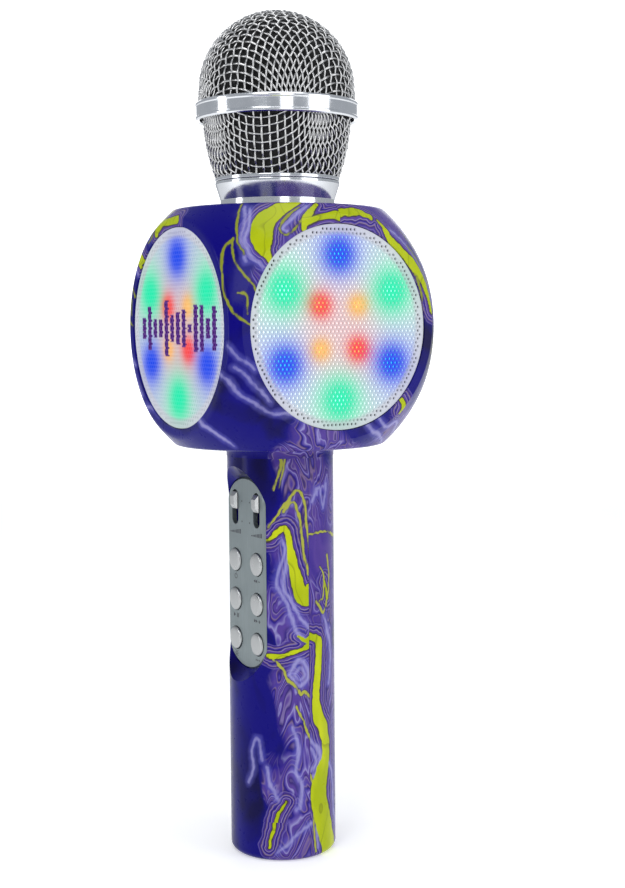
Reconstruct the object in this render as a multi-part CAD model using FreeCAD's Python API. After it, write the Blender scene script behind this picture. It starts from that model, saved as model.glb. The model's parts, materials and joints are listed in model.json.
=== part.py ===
import FreeCAD, Part
import math
import os

# Karaoke toy microphone: handle with a control panel, a rounded cube housing with four lit speaker
# grilles, and a wire ball head that screws onto a chrome collar.
# Millimetres, +Z up, origin at the middle of the base it stands on, control panel facing -Y.

V = FreeCAD.Vector
AXIS_X, AXIS_Y, AXIS_Z = V(1, 0, 0), V(0, 1, 0), V(0, 0, 1)

# ---- driving dimensions ----
# handle
handle_radius = 17.25
handle_wall = 2.0
handle_length = 116.9
cap_height = 13.0
cap_floor = 3.0
cap_edge_round = 2.4
cap_wall = 3.2
spigot_length = 3.0
spigot_wall = 2.0
slide_fit = 0.10          # clearance per side between moulded pieces that plug together

# control panel, measured up from the lower end of the handle tube
panel_centre = 79.1
panel_height = 62.0
panel_end_height = 8.5    # each rounded end is half an ellipse
panel_depth = 13.0        # handle axis to the plate's face
panel_thickness = 1.6
panel_bevel = 0.5
panel_ramp = 3.8
seat_thickness = 1.6

# push buttons, from the panel's centre
button_radius = 3.65
button_pitch_x = 13.8
button_pitch_z = 12.9
button_rows_centre = -9.3
button_proud = 0.9
button_dome = 0.5
button_gap = 0.20
button_flange = 0.8       # how far the flange reaches past the cap, and its thickness
button_rest_gap = 0.10
button_travel = 0.5
button_stem_radius = 1.4

# slide controls, from the panel's centre
slot_pitch_x = 13.9
slot_centre = 20.93
slider_travel = 5.35
slider_gap = 0.25         # knob to the slot's end at each limit
slot_side_gap = 0.40
knob_length = 5.5
knob_width = 3.3
knob_proud = 1.2
knob_rest = 23.1
knob_bevel = 0.9
knob_lift = 0.15          # the chisel starts this far above the plate
lever_width = 1.0
lever_length = 2.0

# electronics in the handle
switch_gap = 1.0          # switch to the back of the panel's seat
board_thickness = 1.2
board_edge_gap = 1.85     # board to the inside of the tube, at its edges
board_length = 66.0
board_post_inset = 2.1    # from the board's edge
board_post_radius = 1.1
board_screw_radius = 0.6
board_screw_head = 1.5
board_screw_head_height = 0.8
board_screw_length = 3.0
board_post_low = 2.4        # lower posts above the board's lower edge
board_post_margin = 0.4     # upper posts past the top buttons' flanges
radio_size = (7.0, 1.8, 10.0)       # width, thickness, height of the parts on the board
radio_place = (-7.0, 8.0)           # middle: across, below the board's upper edge
amplifier_size = (5.0, 1.5, 6.0)
amplifier_place = (6.5, 9.0)
plug_size = (6.0, 3.5, 4.0)
plug_place = (6.5, 4.0)             # middle: across, above the cell
can_radius = 2.0
can_height = 4.2
can_columns = (-8.5, -3.6)
switch_size = 6.0
switch_height = 3.4
switch_well = 1.4
pot_length = 18.0
pot_width = 6.4
pot_height = 3.5
pot_groove_depth = 1.3
battery_radius = 9.1
battery_length = 65.0
battery_gap = 0.55        # cell to the rear of the tube
battery_start = 6.0       # above the lower end of the handle tube
rib_thickness = 2.0
rib_low = 9.0               # lower rib above the cell's lower end
rib_high = 11.0             # upper rib below its upper end
rib_grip = 2.0              # how far the ribs reach past the cell's axis
cell_cut_clearance = 0.5

# sockets in the base
jack_bore_radius = 1.8
jack_bore_length = 13.0
jack_size = 6.4
jack_x = -8.0
jack_nose_radius = 2.9
usb_x = 6.0
usb_width = 8.0
usb_height = 2.9
usb_depth = 7.0
card_x = -1.0
card_width = 12.0
card_height = 1.5
card_depth = 9.0
socket_inset = 0.3
socket_shell = 0.35

# fasteners
screw_radius = 1.3
screw_head_radius = 2.4
screw_head_height = 1.6
screw_clearance = 0.2
boss_wall = 1.3
thread_gap = 0.02
recess_arm = 1.6            # cross recess in a screw's head: half length, half width, depth
recess_half_width = 0.3
recess_depth = 0.7
handle_screw_drop = 19.1    # handle screw below the panel's upper end
handle_screw_seat = 2.0     # its head's underside below the tube's inside
handle_screw_bite = 4.0     # its length past the board's back

# housing
housing_half = 37.0
housing_extra_height = 0.5    # half height over half width
housing_wall = 2.0
housing_round = 2.2
neck_height = 3.6
neck_step = 0.15
neck_flare = 3.0
neck_bore_wall = 2.05
lock_ring_height = 3.0
lock_ring_reach = 1.5
tower_wall = 0.6
tower_gap = 0.4
tower_bite = 0.3          # how far the towers sink into the flat walls
housing_screw_length = 20.0
housing_screw_depth = 14.0

# the four faces, working inwards
grille_margin = 5.9       # grille's edge to the corner of the housing's square
grille_border = 2.97      # flat ring round each grille
grille_gap = 0.25
grille_recess = 0.6
grille_thickness = 0.8
diffuser_thickness = 0.5
ledge_width = 1.6
ledge_thickness = 1.7
board_disc_inset = 0.1    # smaller than the grille
board_disc_thickness = 1.2
board_ring_inner = 17.5
hub_outer = 13.5
hub_inner = 5.5
spoke_width = 5.0
face_rim_reach = 2.3      # walls past the grille's radius
collar_reach = 0.8
led_size = 5.0
led_height = 1.5
led_outer_radius = 22.05
led_inner_offset = 6.66

# loudspeakers behind the two side faces
speaker_inset = 2.6       # smaller than the grille
speaker_flange = 1.2
speaker_throat = 15.5
speaker_depth = 12.0
speaker_wall = 0.8
magnet_radius = 14.0
magnet_height = 6.0
gasket_thickness = 1.0
gasket_width = 4.0
cone_thickness = 0.5
cone_throat = 7.5
cone_depth = 8.0
speaker_lip = 1.0
speaker_lip_reach = 1.4

# collar and capsule
collar_foot_radius = 18.3
collar_top_radius = 20.0
collar_height = 8.8
collar_foot_height = 2.4
collar_bore = 17.6
collar_floor = 2.0
collar_flange_radius = 17.0
collar_flange_thickness = 1.9
collar_neck_radius = 13.9
capsule_radius = 8.0
capsule_height = 16.0
mount_wall = 2.6
mount_height = 9.0

# ball head, heights above the housing's top
head_seat_gap = 0.10
base_ring_height = 1.2
base_ring_step = 0.05
thread_length = 6.0
thread_clearance = 0.05
thread_wall = 1.4
bowl_mid = (-2.1, 19.0)       # radius from the mesh's edge, height
bowl_top = (-0.9, 27.6)
mesh_thickness = 1.2
ring_reach = 1.38         # past the mesh's edge
ring_start = 27.9
ring_height = 5.8
ring_chamfer = 0.5
ring_edge_step = 0.48
mesh_edge_reach = 0.4     # mesh's edge past the dome's radius
mesh_edge_split = 0.45
dome_shoulder = 37.8
dome_radius = 24.3
foam_gap = 0.15
foam_thickness = 4.0

# ---- places that follow from them ----
tube_start = cap_height
tube_end = tube_start + handle_length
tube_inner = handle_radius - handle_wall
neck_radius = handle_radius + neck_step
panel_width = 2 * math.sqrt(handle_radius ** 2 - (panel_depth - panel_bevel) ** 2)
panel_z = tube_start + panel_centre
plate_back = panel_depth - panel_thickness
seat_back = plate_back - seat_thickness
button_rows = [panel_z + button_rows_centre + row * button_pitch_z for row in (1, 0, -1)]
button_columns = [-button_pitch_x / 2, button_pitch_x / 2]
slot_columns = [-slot_pitch_x / 2, slot_pitch_x / 2]
slot_z = panel_z + slot_centre
slot_length = knob_length + slider_travel + 2 * slider_gap
slot_width = knob_width + 2 * slot_side_gap
board_front = seat_back - switch_gap - switch_height
board_width = 2 * (math.sqrt(tube_inner ** 2 - board_front ** 2) - board_edge_gap)
board_post_x = board_width / 2 - board_post_inset
battery_centre = tube_inner - battery_radius - battery_gap
board_back = board_front - board_thickness
board_start = panel_z - board_length / 2
housing_bottom = tube_end + neck_height
housing_half_height = housing_half + housing_extra_height
grille_radius = housing_half - grille_margin
housing_sphere = math.hypot(housing_half, grille_radius + grille_border)
board_disc_radius = grille_radius - board_disc_inset
speaker_radius = grille_radius - speaker_inset
face_rim = grille_radius + face_rim_reach
collar_outer = grille_radius + collar_reach
tower_radius = screw_head_radius + screw_clearance + tower_wall
housing_screw_x = neck_radius + tower_radius + tower_gap
housing_screw_z = housing_half_height - housing_wall - tower_radius + tower_bite
collar_cable_radius = capsule_radius + mount_wall
mesh_edge_radius = dome_radius + mesh_edge_reach
ring_radius = mesh_edge_radius + ring_reach
ring_edge = ring_radius - ring_edge_step
base_ring_radius = collar_top_radius + base_ring_step
housing_z = housing_bottom + housing_half_height
housing_top = housing_z + housing_half_height
grille_face = housing_half - grille_recess
diffuser_face = grille_face - grille_thickness
ledge_face = diffuser_face - diffuser_thickness
led_board_face = ledge_face - ledge_thickness
led_board_back = led_board_face - board_disc_thickness
speaker_face = led_board_back - gasket_thickness
speaker_back = speaker_face - speaker_flange
handle_screw_z = panel_z + panel_height / 2 - handle_screw_drop
FACES = {"right": 0, "rear": 90, "left": 180, "front": -90}


# ---- helpers ----
def post(radius, low, high, x=0.0, y=0.0):
    return Part.makeCylinder(radius, high - low, V(x, y, low), AXIS_Z)


def bar_y(radius, low, high, x, z):
    return Part.makeCylinder(radius, high - low, V(x, low, z), AXIS_Y)


def block(x, y, z):
    return Part.makeBox(x[1] - x[0], y[1] - y[0], z[1] - z[0], V(x[0], y[0], z[0]))


def ring(outer, inner, low, high):
    return post(outer, low, high).cut(post(inner, low - 1, high + 1))


def turned(points):
    """Solid of revolution about Z from a closed list of (radius, height) corners."""
    corners = [V(r, 0, z) for r, z in points]
    face = Part.Face(Part.makePolygon(corners + corners[:1]))
    return face.revolve(V(0, 0, 0), AXIS_Z, 360)


def turned_edges(edges):
    face = Part.Face(Part.Wire(edges))
    return face.revolve(V(0, 0, 0), AXIS_Z, 360)


def joined(shapes):
    whole = shapes[0]
    for shape in shapes[1:]:
        whole = whole.fuse(shape)
    return whole.removeSplitter()


def group(shapes):
    return Part.makeCompound(shapes)


def half(shape, side):
    """The part of a shape on one side of the moulding's split plane: -1 is the front."""
    size = 400.0
    y = (-size, 0.0) if side < 0 else (0.0, size)
    return shape.common(block((-size, size), y, (-size, size)))


def on_face(shape, name):
    """Moves a stack built along +X, centred on the origin, to one of the housing's faces."""
    placed = shape.copy()
    placed.rotate(V(0, 0, 0), AXIS_Z, FACES[name])
    placed.translate(V(0, 0, housing_z))
    return placed


def disc_x(radius, low, high, y=0.0, z=0.0):
    return Part.makeCylinder(radius, high - low, V(low, y, z), AXIS_X)


def ring_x(outer, inner, low, high):
    return disc_x(outer, low, high).cut(disc_x(inner, low - 1, high + 1))


def cone_shell_x(face, back, r_face, r_back, wall):
    """A thin cone along X, narrow at its back."""
    span = face - back
    outer = Part.makeCone(r_back, r_face, span, V(back, 0, 0), AXIS_X)
    inner = Part.makeCone(r_back - wall, r_face - wall, span, V(back, 0, 0), AXIS_X)
    return outer.cut(inner)


# ---- control panel ----
def panel_outline(width, end_height, straight, depth):
    """Closed wire in the plane y = -depth: two straight sides and two half-elliptic ends."""
    a = width / 2
    top = panel_z + straight / 2
    low = panel_z - straight / 2

    def end(base, tip):
        ellipse = Part.BSplineCurve()
        steps = 12
        turns = [math.pi * i / steps for i in range(steps + 1)]
        ellipse.interpolate([V(a * math.cos(t), -depth, base + tip * math.sin(t)) for t in turns])
        return ellipse.toShape()

    upper = end(top, end_height)
    lower = end(low, -end_height)
    left = Part.makeLine(V(-a, -depth, top), V(-a, -depth, low))
    right = Part.makeLine(V(a, -depth, low), V(a, -depth, top))
    return Part.Wire(Part.__sortEdges__([upper, left, lower, right]))


def panel_prism(grow, near, far):
    """The panel's outline, grown by a margin, between two depths from the handle's axis."""
    straight = panel_height - 2 * panel_end_height
    wire = panel_outline(panel_width + 2 * grow, panel_end_height + grow, straight, near)
    return Part.Face(wire).extrude(V(0, near - far, 0))


def panel_scoop():
    """Sloped ends that run from the plate's face out to the round of the handle."""
    straight = panel_height - 2 * panel_end_height
    reach = handle_radius + 1.0
    run = panel_ramp * (reach - panel_depth) / (handle_radius - panel_depth)
    inner = panel_outline(panel_width + 2 * slide_fit, panel_end_height + slide_fit, straight, panel_depth)
    outer = panel_outline(panel_width + 2 * run, panel_end_height + run, straight, reach)
    return Part.makeLoft([inner, outer], True, True)


def slot_shape(width, length, near, far, x, z):
    """An upright slot with round ends, between two depths."""
    radius = width / 2
    reach = length / 2 - radius
    body = block((x - radius, x + radius), (-far, -near), (z - reach, z + reach))
    ends = [bar_y(radius, -far, -near, x, z + side * reach) for side in (-1, 1)]
    return joined([body] + ends)


def control_panel():
    straight = panel_height - 2 * panel_end_height
    face_width = panel_width - 2 * panel_bevel
    foot = panel_prism(0, plate_back, panel_depth - panel_bevel)
    step = panel_outline(panel_width, panel_end_height, straight, panel_depth - panel_bevel)
    face = panel_outline(face_width, panel_end_height - panel_bevel, straight, panel_depth)
    plate = foot.fuse(Part.makeLoft([step, face], True, True)).removeSplitter()
    for x in button_columns:
        for z in button_rows:
            plate = plate.cut(bar_y(button_radius + button_gap, -panel_depth - 1, -plate_back + 1, x, z))
    for x in slot_columns:
        plate = plate.cut(slot_shape(slot_width, slot_length, plate_back - 1, panel_depth + 1, x, slot_z))
    return plate


def button(x, z):
    """Domed cap, a flange that stops behind the plate, and a stem into the switch's well."""
    face = panel_depth + button_proud
    flange_face = plate_back - button_rest_gap
    flange_back = flange_face - button_flange
    cap = bar_y(button_radius, -face, -flange_face, x, z)
    rim = [edge for edge in cap.Edges if abs(edge.CenterOfMass.y + face) < 0.01]
    cap = cap.makeFillet(button_dome, rim)
    flange = bar_y(button_radius + button_flange, -flange_face, -flange_back, x, z)
    stem_end = board_front + switch_height - switch_well + button_travel + button_rest_gap
    stem = bar_y(button_stem_radius, -flange_back, -stem_end, x, z)
    return joined([cap, flange, stem])


def slider_knob(x):
    """Chisel-ended knob in the plate's slot, with the lever that drives the control behind it."""
    z = panel_z + knob_rest
    face = panel_depth + knob_proud
    w, h = knob_width / 2, knob_length / 2
    base_y, edge_y = -plate_back, -panel_depth - knob_lift
    body = slot_shape(knob_width, knob_length, plate_back, panel_depth + knob_lift, x, z)
    low = Part.makePolygon([V(x + sx * w, edge_y, z + sz * h) for sx, sz in
                            ((-1, -1), (1, -1), (1, 1), (-1, 1), (-1, -1))])
    tw, th = w - knob_bevel * 0.5, h - knob_bevel * 1.5
    high = Part.makePolygon([V(x + sx * tw, -face, z + sz * th) for sx, sz in
                             ((-1, -1), (1, -1), (1, 1), (-1, 1), (-1, -1))])
    crown = Part.makeLoft([low, high], True, True)
    lever_end = board_front + pot_height - pot_groove_depth + 0.5
    lever = block((x - lever_width / 2, x + lever_width / 2), (base_y, -lever_end),
                  (z - lever_length / 2, z + lever_length / 2))
    return joined([body, crown, lever])


# ---- handle ----
def handle_tube():
    tube = ring(handle_radius, tube_inner, tube_start, tube_end)
    neck_bore = neck_radius - neck_bore_wall
    sleeve_outer = neck_bore - slide_fit
    sleeve_inner = sleeve_outer - handle_wall
    top = housing_bottom + housing_wall + slide_fit
    sleeve = ring(sleeve_outer, sleeve_inner, tube_end - 4.0, top + lock_ring_height)
    lock = ring(sleeve_outer + lock_ring_reach, sleeve_inner, top, top + lock_ring_height)
    shoulder = ring(tube_inner, sleeve_inner, tube_end - 4.0, tube_end)
    return joined([tube, sleeve, lock, shoulder])


def handle_boss_shapes(side):
    """The screw tower between the two halves and the tabs that the end cap's screws bite into."""
    boss_radius = screw_radius + boss_wall
    if side < 0:
        tower = bar_y(boss_radius, -seat_back, -board_back, 0, handle_screw_z)
        pilot = bar_y(screw_radius + thread_gap, -seat_back, 1, 0, handle_screw_z)
    else:
        tower = bar_y(boss_radius, -board_back, tube_inner, 0, handle_screw_z)
        head_pad = screw_head_radius + screw_clearance + boss_wall
        pad_start = handle_screw_head_y() - boss_wall
        tower = tower.fuse(bar_y(head_pad, pad_start, tube_inner + 1, 0, handle_screw_z))
        pilot = bar_y(screw_radius + screw_clearance, -board_back - 1, handle_radius, 0, handle_screw_z)
    low = tube_start + spigot_length + slide_fit
    tab = block((-boss_radius, boss_radius), (cap_screw_y() - boss_radius, tube_inner + 0.5),
                (low, tube_start + battery_start - slide_fit))
    if side < 0:
        tab = tab.mirror(V(0, 0, 0), AXIS_Y)
    tab = tab.common(post(handle_radius - 0.5, 0, tube_end))
    return tower, pilot, tab


def cap_screw_y():
    return tube_inner - spigot_wall - screw_head_radius - screw_clearance - 0.4


def handle_front_shell():
    shell = half(handle_tube(), -1)
    seat_fill = post(handle_radius - 0.5, panel_z - panel_height / 2 - 2, panel_z + panel_height / 2 + 2)
    seat = seat_fill.common(block((-30, 30), (-handle_radius, -seat_back), (0, 200)))
    tower, pilot, tab = handle_boss_shapes(-1)
    shell = joined([shell, seat, tower, tab])
    for x in (-board_post_x, board_post_x):
        for z in board_post_rows():
            shell = shell.fuse(bar_y(board_post_radius, -seat_back - 0.2, -board_front, x, z))
            shell = shell.cut(bar_y(board_screw_radius + thread_gap, -seat_back + 0.5, 0, x, z))
    shell = shell.cut(panel_prism(slide_fit, plate_back, handle_radius + 2))
    shell = shell.cut(panel_scoop())
    for x in button_columns:
        for z in button_rows:
            clear = button_radius + button_flange + button_gap
            shell = shell.cut(bar_y(clear, -plate_back - 0.1, -seat_back + 0.5, x, z))
    for x in slot_columns:
        width, length = slot_width + 2 * button_gap, slot_length + 2 * button_gap
        shell = shell.cut(slot_shape(width, length, seat_back - 0.5, plate_back + 0.1, x, slot_z))
    shell = shell.cut(pilot.common(block((-9, 9), (-seat_back, 1), (0, 200))))
    shell = shell.cut(post(screw_radius + thread_gap, 0, 30, 0, -cap_screw_y()))
    return shell.removeSplitter()


def handle_rear_shell():
    shell = half(handle_tube(), 1)
    tower, pilot, tab = handle_boss_shapes(1)
    ribs = []
    for z in (tube_start + battery_start + rib_low, battery_top() - rib_high):
        rib = half(post(tube_inner + 0.5, z, z + rib_thickness), 1)
        front = (-1, battery_centre - rib_grip)
        ribs.append(rib.cut(block((-tube_inner, tube_inner), front, (z - 1, z + rib_thickness + 1))))
    shell = joined([shell, tower, tab] + ribs)
    cell = post(battery_radius + slide_fit, tube_start + battery_start - slide_fit / 2,
                battery_top() + cell_cut_clearance, 0, battery_centre)
    shell = shell.cut(cell)
    pocket = screw_head_radius + screw_clearance
    head = bar_y(pocket, handle_screw_head_y(), handle_radius + 1, 0, handle_screw_z)
    shell = shell.cut(pilot).cut(head)
    shell = shell.cut(post(screw_radius + thread_gap, 0, 30, 0, cap_screw_y()))
    return shell.removeSplitter()


def battery_top():
    return tube_start + battery_start + battery_length


def handle_screw_head_y():
    return tube_inner - handle_screw_seat


def board_post_rows():
    low = board_start + board_post_low
    high = button_rows[0] + button_radius + button_flange + button_gap + board_post_radius + board_post_margin
    return (low, high)


def screw_y(head_face, length, x, z):
    """Pan-head screw driven in from +Y: head_face is the underside of its head."""
    shank = bar_y(screw_radius, head_face - length, head_face, x, z)
    head = bar_y(screw_head_radius, head_face, head_face + screw_head_height, x, z)
    top = head_face + screw_head_height
    depth = (top - recess_depth, top + 1)
    slot = block((x - recess_half_width, x + recess_half_width), depth, (z - recess_arm, z + recess_arm))
    cross = block((x - recess_arm, x + recess_arm), depth, (z - recess_half_width, z + recess_half_width))
    return joined([shank, head]).cut(slot).cut(cross)


def handle_screw():
    length = handle_screw_head_y() + board_back + handle_screw_bite
    return screw_y(handle_screw_head_y(), length, 0, handle_screw_z)


def end_cap():
    cup = post(handle_radius, 0, cap_height)
    rim = [edge for edge in cup.Edges if abs(edge.CenterOfMass.z) < 0.01]
    cup = cup.makeFillet(cap_edge_round, rim)
    cup = cup.cut(post(handle_radius - cap_wall, cap_floor, cap_height + 1))
    spigot_outer = tube_inner - slide_fit
    spigot = ring(spigot_outer, spigot_outer - spigot_wall, cap_height - 2, cap_height + spigot_length)
    cup = joined([cup, spigot])
    for y in (-cap_screw_y(), cap_screw_y()):
        cup = cup.cut(post(screw_radius + screw_clearance, -1, cap_floor + 1, 0, y))
        cup = cup.cut(post(screw_head_radius + screw_clearance, -1, cap_screw_seat(), 0, y))
    cup = cup.cut(post(jack_nose_radius + slide_fit, -1, cap_floor + 1, jack_x, 0))
    for x, width, height in ((usb_x, usb_width, usb_height), (card_x, card_width, card_height)):
        w = width / 2 + socket_shell + slide_fit
        h = height / 2 + socket_shell + slide_fit
        cup = cup.cut(block((x - h, x + h), (-w, w), (-1, cap_floor + 1)))
    return cup


def cap_screw_seat():
    return screw_head_height + 0.3


def cap_screws():
    screws = []
    end = tube_start + battery_start - 0.6
    for y in (-cap_screw_y(), cap_screw_y()):
        head = post(screw_head_radius, cap_screw_seat() - screw_head_height, cap_screw_seat(), 0, y)
        shank = post(screw_radius, cap_screw_seat(), end, 0, y)
        low = cap_screw_seat() - screw_head_height
        depth = (-1, low + recess_depth)
        cross = block((-recess_arm, recess_arm), (y - recess_half_width, y + recess_half_width), depth)
        arm = (y - recess_arm, y + recess_arm)
        cross = cross.fuse(block((-recess_half_width, recess_half_width), arm, depth))
        screws.append(joined([head, shank]).cut(cross))
    return group(screws)


# ---- sockets in the base ----
def headphone_jack():
    size = jack_size / 2
    nose = post(jack_nose_radius, socket_inset, cap_floor, jack_x, 0)
    body = block((jack_x - size, jack_x + size), (-size, size),
                 (cap_floor, socket_inset + jack_bore_length + 1.0))
    bore = post(jack_bore_radius, 0, socket_inset + jack_bore_length, jack_x, 0)
    return joined([nose, body]).cut(bore)


def edge_socket(x, width, height, depth, tongue):
    """A folded metal socket with a contact tongue inside, its mouth facing down."""
    w, h = width / 2, height / 2
    outer = block((x - h - socket_shell, x + h + socket_shell), (-w - socket_shell, w + socket_shell),
                  (socket_inset, socket_inset + depth))
    hollow = block((x - h, x + h), (-w, w), (0, socket_inset + depth - socket_shell))
    blade = block((x - tongue / 2, x + tongue / 2), (-w * 0.75, w * 0.75),
                  (socket_inset + 1.5, socket_inset + depth - socket_shell))
    return joined([outer.cut(hollow), blade])


def socket_board():
    """Small board across the top of the three sockets."""
    low = socket_inset + jack_bore_length + 1.0
    plate = post(tube_inner - spigot_wall - 0.4, low, low + 1.0)
    screws = [post(screw_radius + 0.6, low - 1, low + 2, 0, y) for y in (-cap_screw_y(), cap_screw_y())]
    legs = []
    for x, depth in ((usb_x, usb_depth), (card_x, card_depth)):
        legs.append(block((x - 0.6, x + 0.6), (-3, 3), (socket_inset + depth, low)))
    return joined([plate] + legs).cut(group(screws))


# ---- electronics ----
def main_board():
    w = board_width / 2
    plate = block((-w, w), (-board_front, -board_back), (board_start, board_start + board_length))
    hole = screw_radius + boss_wall + screw_clearance
    plate = plate.cut(bar_y(hole, -20, 20, 0, handle_screw_z))
    for x in (-board_post_x, board_post_x):
        for z in board_post_rows():
            plate = plate.cut(bar_y(board_screw_radius + thread_gap, -20, 20, x, z))
    return plate


def board_screws():
    screws = []
    for x in (-board_post_x, board_post_x):
        for z in board_post_rows():
            shank = bar_y(board_screw_radius, -board_front - board_screw_length, -board_back, x, z)
            head = bar_y(board_screw_head, -board_back, -board_back + board_screw_head_height, x, z)
            screws.append(joined([shank, head]))
    return group(screws)


def on_back(size, x, back, z):
    """A block of that size standing on the board's back, with its middle at x and z."""
    width, thickness, height = size
    return block((x - width / 2, x + width / 2), (back, back + thickness), (z - height / 2, z + height / 2))


def board_components():
    """Radio module, amplifier, two capacitors and the cell's connector, on the board's back."""
    top = board_start + board_length
    back = -board_back
    row = battery_top() + plug_place[1]
    radio = on_back(radio_size, radio_place[0], back, top - radio_place[1])
    amplifier = on_back(amplifier_size, amplifier_place[0], back, top - amplifier_place[1])
    plug = on_back(plug_size, plug_place[0], back, row)
    cans = [bar_y(can_radius, back, back + can_height, x, row) for x in can_columns]
    return group([radio, amplifier, plug] + cans)


def tact_switches():
    switches = []
    s = switch_size / 2
    face = board_front + switch_height
    for x in button_columns:
        for z in button_rows:
            body = block((x - s, x + s), (-face, -board_front), (z - s, z + s))
            well = bar_y(button_stem_radius + button_gap, -face - 1, -face + switch_well, x, z)
            switches.append(body.cut(well))
    return group(switches)


def slide_potentiometers():
    pots = []
    z = slot_z
    face = board_front + pot_height
    for x in slot_columns:
        body = block((x - pot_width / 2, x + pot_width / 2), (-face, -board_front),
                     (z - pot_length / 2, z + pot_length / 2))
        half_groove = (slot_length - knob_length + lever_length) / 2 + 0.6
        groove = block((x - lever_width / 2 - 0.4, x + lever_width / 2 + 0.4),
                       (-face - 1, -face + pot_groove_depth), (z - half_groove, z + half_groove))
        pots.append(body.cut(groove))
    return group(pots)


def battery_cell():
    low = tube_start + battery_start
    cell = post(battery_radius, low, low + battery_length - 1.0, 0, battery_centre)
    tip = post(2.8, low + battery_length - 1.0, low + battery_length, 0, battery_centre)
    return joined([cell, tip])


# ---- housing ----
def rounded_cube(sphere, half_width, half_height, rounding):
    cube = block((-half_width, half_width), (-half_width, half_width), (-half_height, half_height))
    body = Part.makeSphere(sphere).common(cube)
    if rounding > 0:
        rims = [edge for edge in body.Edges if edge.Length > half_width and edge.isClosed()]
        body = body.makeFillet(rounding, rims)
    body.translate(V(0, 0, housing_z))
    return body


def neck():
    """Short neck under the housing, with a concave flare into the flat underside."""
    low, high = tube_end, housing_bottom
    flare = min(neck_flare, neck_height - 0.4)
    start = V(neck_radius, 0, high - flare)
    end = V(neck_radius + flare, 0, high)
    centre = V(neck_radius + flare, 0, high - flare)
    middle = centre + V(-math.cos(math.pi / 4), 0, math.sin(math.pi / 4)) * flare
    corners = [V(0, 0, high + 1), V(0, 0, low), V(neck_radius, 0, low), start]
    edges = [Part.makeLine(corners[i], corners[i + 1]) for i in range(3)]
    edges.append(Part.Arc(start, middle, end).toShape())
    edges.append(Part.makeLine(end, end + V(0, 0, 1)))
    edges.append(Part.makeLine(end + V(0, 0, 1), corners[0]))
    return turned_edges(edges)


def face_rim_solid(side_face):
    """Material round a grille's opening; the side faces also carry a loudspeaker collar."""
    rim = disc_x(face_rim, led_board_back if side_face else led_board_face, housing_half)
    if side_face:
        return rim.fuse(disc_x(collar_outer, speaker_back - speaker_lip, led_board_back + 0.5))
    return rim.fuse(disc_x(collar_outer, led_board_back - 0.6, led_board_face + 0.5))


def face_pocket(side_face):
    """Everything cut out of that rim, from the grille's recess inwards."""
    cuts = [disc_x(grille_radius + grille_gap, ledge_face, housing_half + 1),
            disc_x(grille_radius - ledge_width, led_board_face - 0.1, ledge_face + 0.1)]
    inner_end = led_board_back if side_face else led_board_back - 1.0
    cuts.append(disc_x(board_disc_radius + slide_fit, inner_end, led_board_face))
    if side_face:
        cuts.append(disc_x(speaker_radius + slide_fit, speaker_back, led_board_back + 0.1))
        lip = speaker_radius - speaker_lip_reach
        cuts.append(disc_x(lip, speaker_back - speaker_lip - 0.1, speaker_back + 0.1))
    return joined(cuts)


def housing_towers(side):
    """Four screw towers; the rear ones take the heads, the front ones the threads."""
    towers, holes = [], []
    reach = housing_half
    for sx in (-1, 1):
        for sz in (-1, 1):
            x, z = sx * housing_screw_x, housing_z + sz * housing_screw_z
            if side > 0:
                towers.append(bar_y(tower_radius, 0, reach, x, z))
                holes.append(bar_y(screw_radius + screw_clearance, -1, housing_screw_depth, x, z))
                pocket = screw_head_radius + screw_clearance
                holes.append(bar_y(pocket, housing_screw_depth, reach + 20, x, z))
            else:
                depth = housing_screw_length - housing_screw_depth
                towers.append(bar_y(tower_radius, -reach, 0, x, z))
                holes.append(bar_y(screw_radius + thread_gap, -depth - 1, 1, x, z))
    return towers, holes


def housing_shell(side):
    outer = rounded_cube(housing_sphere, housing_half, housing_half_height, housing_round)
    hollow = rounded_cube(housing_sphere - housing_wall, housing_half - housing_wall,
                          housing_half_height - housing_wall, 0)
    towers, holes = housing_towers(side)
    for name in FACES:
        hollow = hollow.cut(on_face(face_rim_solid(name in ("left", "right")), name))
    for tower in towers:
        hollow = hollow.cut(tower)
    body = half(outer.cut(hollow).fuse(neck()), side)
    for name in FACES:
        body = body.cut(on_face(face_pocket(name in ("left", "right")), name))
    body = body.cut(post(neck_radius - neck_bore_wall, tube_end - 1, housing_bottom + housing_wall + 1))
    body = body.cut(post(collar_neck_radius + slide_fit, housing_top - housing_wall - 1, housing_top + 1))
    for hole in holes:
        body = body.cut(hole)
    return body.removeSplitter()


def housing_screws():
    screws = []
    for sx in (-1, 1):
        for sz in (-1, 1):
            screws.append(screw_y(housing_screw_depth, housing_screw_length,
                                  sx * housing_screw_x, housing_z + sz * housing_screw_z))
    return group(screws)


# ---- the lit faces ----
def speaker_grille(name):
    return on_face(disc_x(grille_radius, diffuser_face, grille_face), name)


def diffuser(name):
    return on_face(disc_x(grille_radius, ledge_face, diffuser_face), name)


def led_board(name):
    low, high = led_board_back, led_board_face
    rim = ring_x(board_disc_radius, board_ring_inner, low, high)
    hub = ring_x(hub_outer, hub_inner, low, high)
    half_spoke = spoke_width / 2
    pieces = [rim, hub]
    for turn in (0, 90):
        spoke = block((low, high), (-half_spoke, half_spoke), (-board_ring_inner - 1, board_ring_inner + 1))
        spoke.rotate(V(0, 0, 0), AXIS_X, turn)
        pieces.append(spoke.cut(disc_x(hub_inner, low - 1, high + 1)))
    return on_face(joined(pieces), name)


def led_places():
    outer = [(led_outer_radius * math.cos(math.radians(a)), led_outer_radius * math.sin(math.radians(a)))
             for a in range(30, 390, 60)]
    inner = [(sy * led_inner_offset, sz * led_inner_offset) for sy in (-1, 1) for sz in (-1, 1)]
    return outer + inner


def leds(name):
    s = led_size / 2
    chips = []
    for y, z in led_places():
        chips.append(block((led_board_face, led_board_face + led_height), (y - s, y + s), (z - s, z + s)))
    return on_face(group(chips), name)


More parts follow.
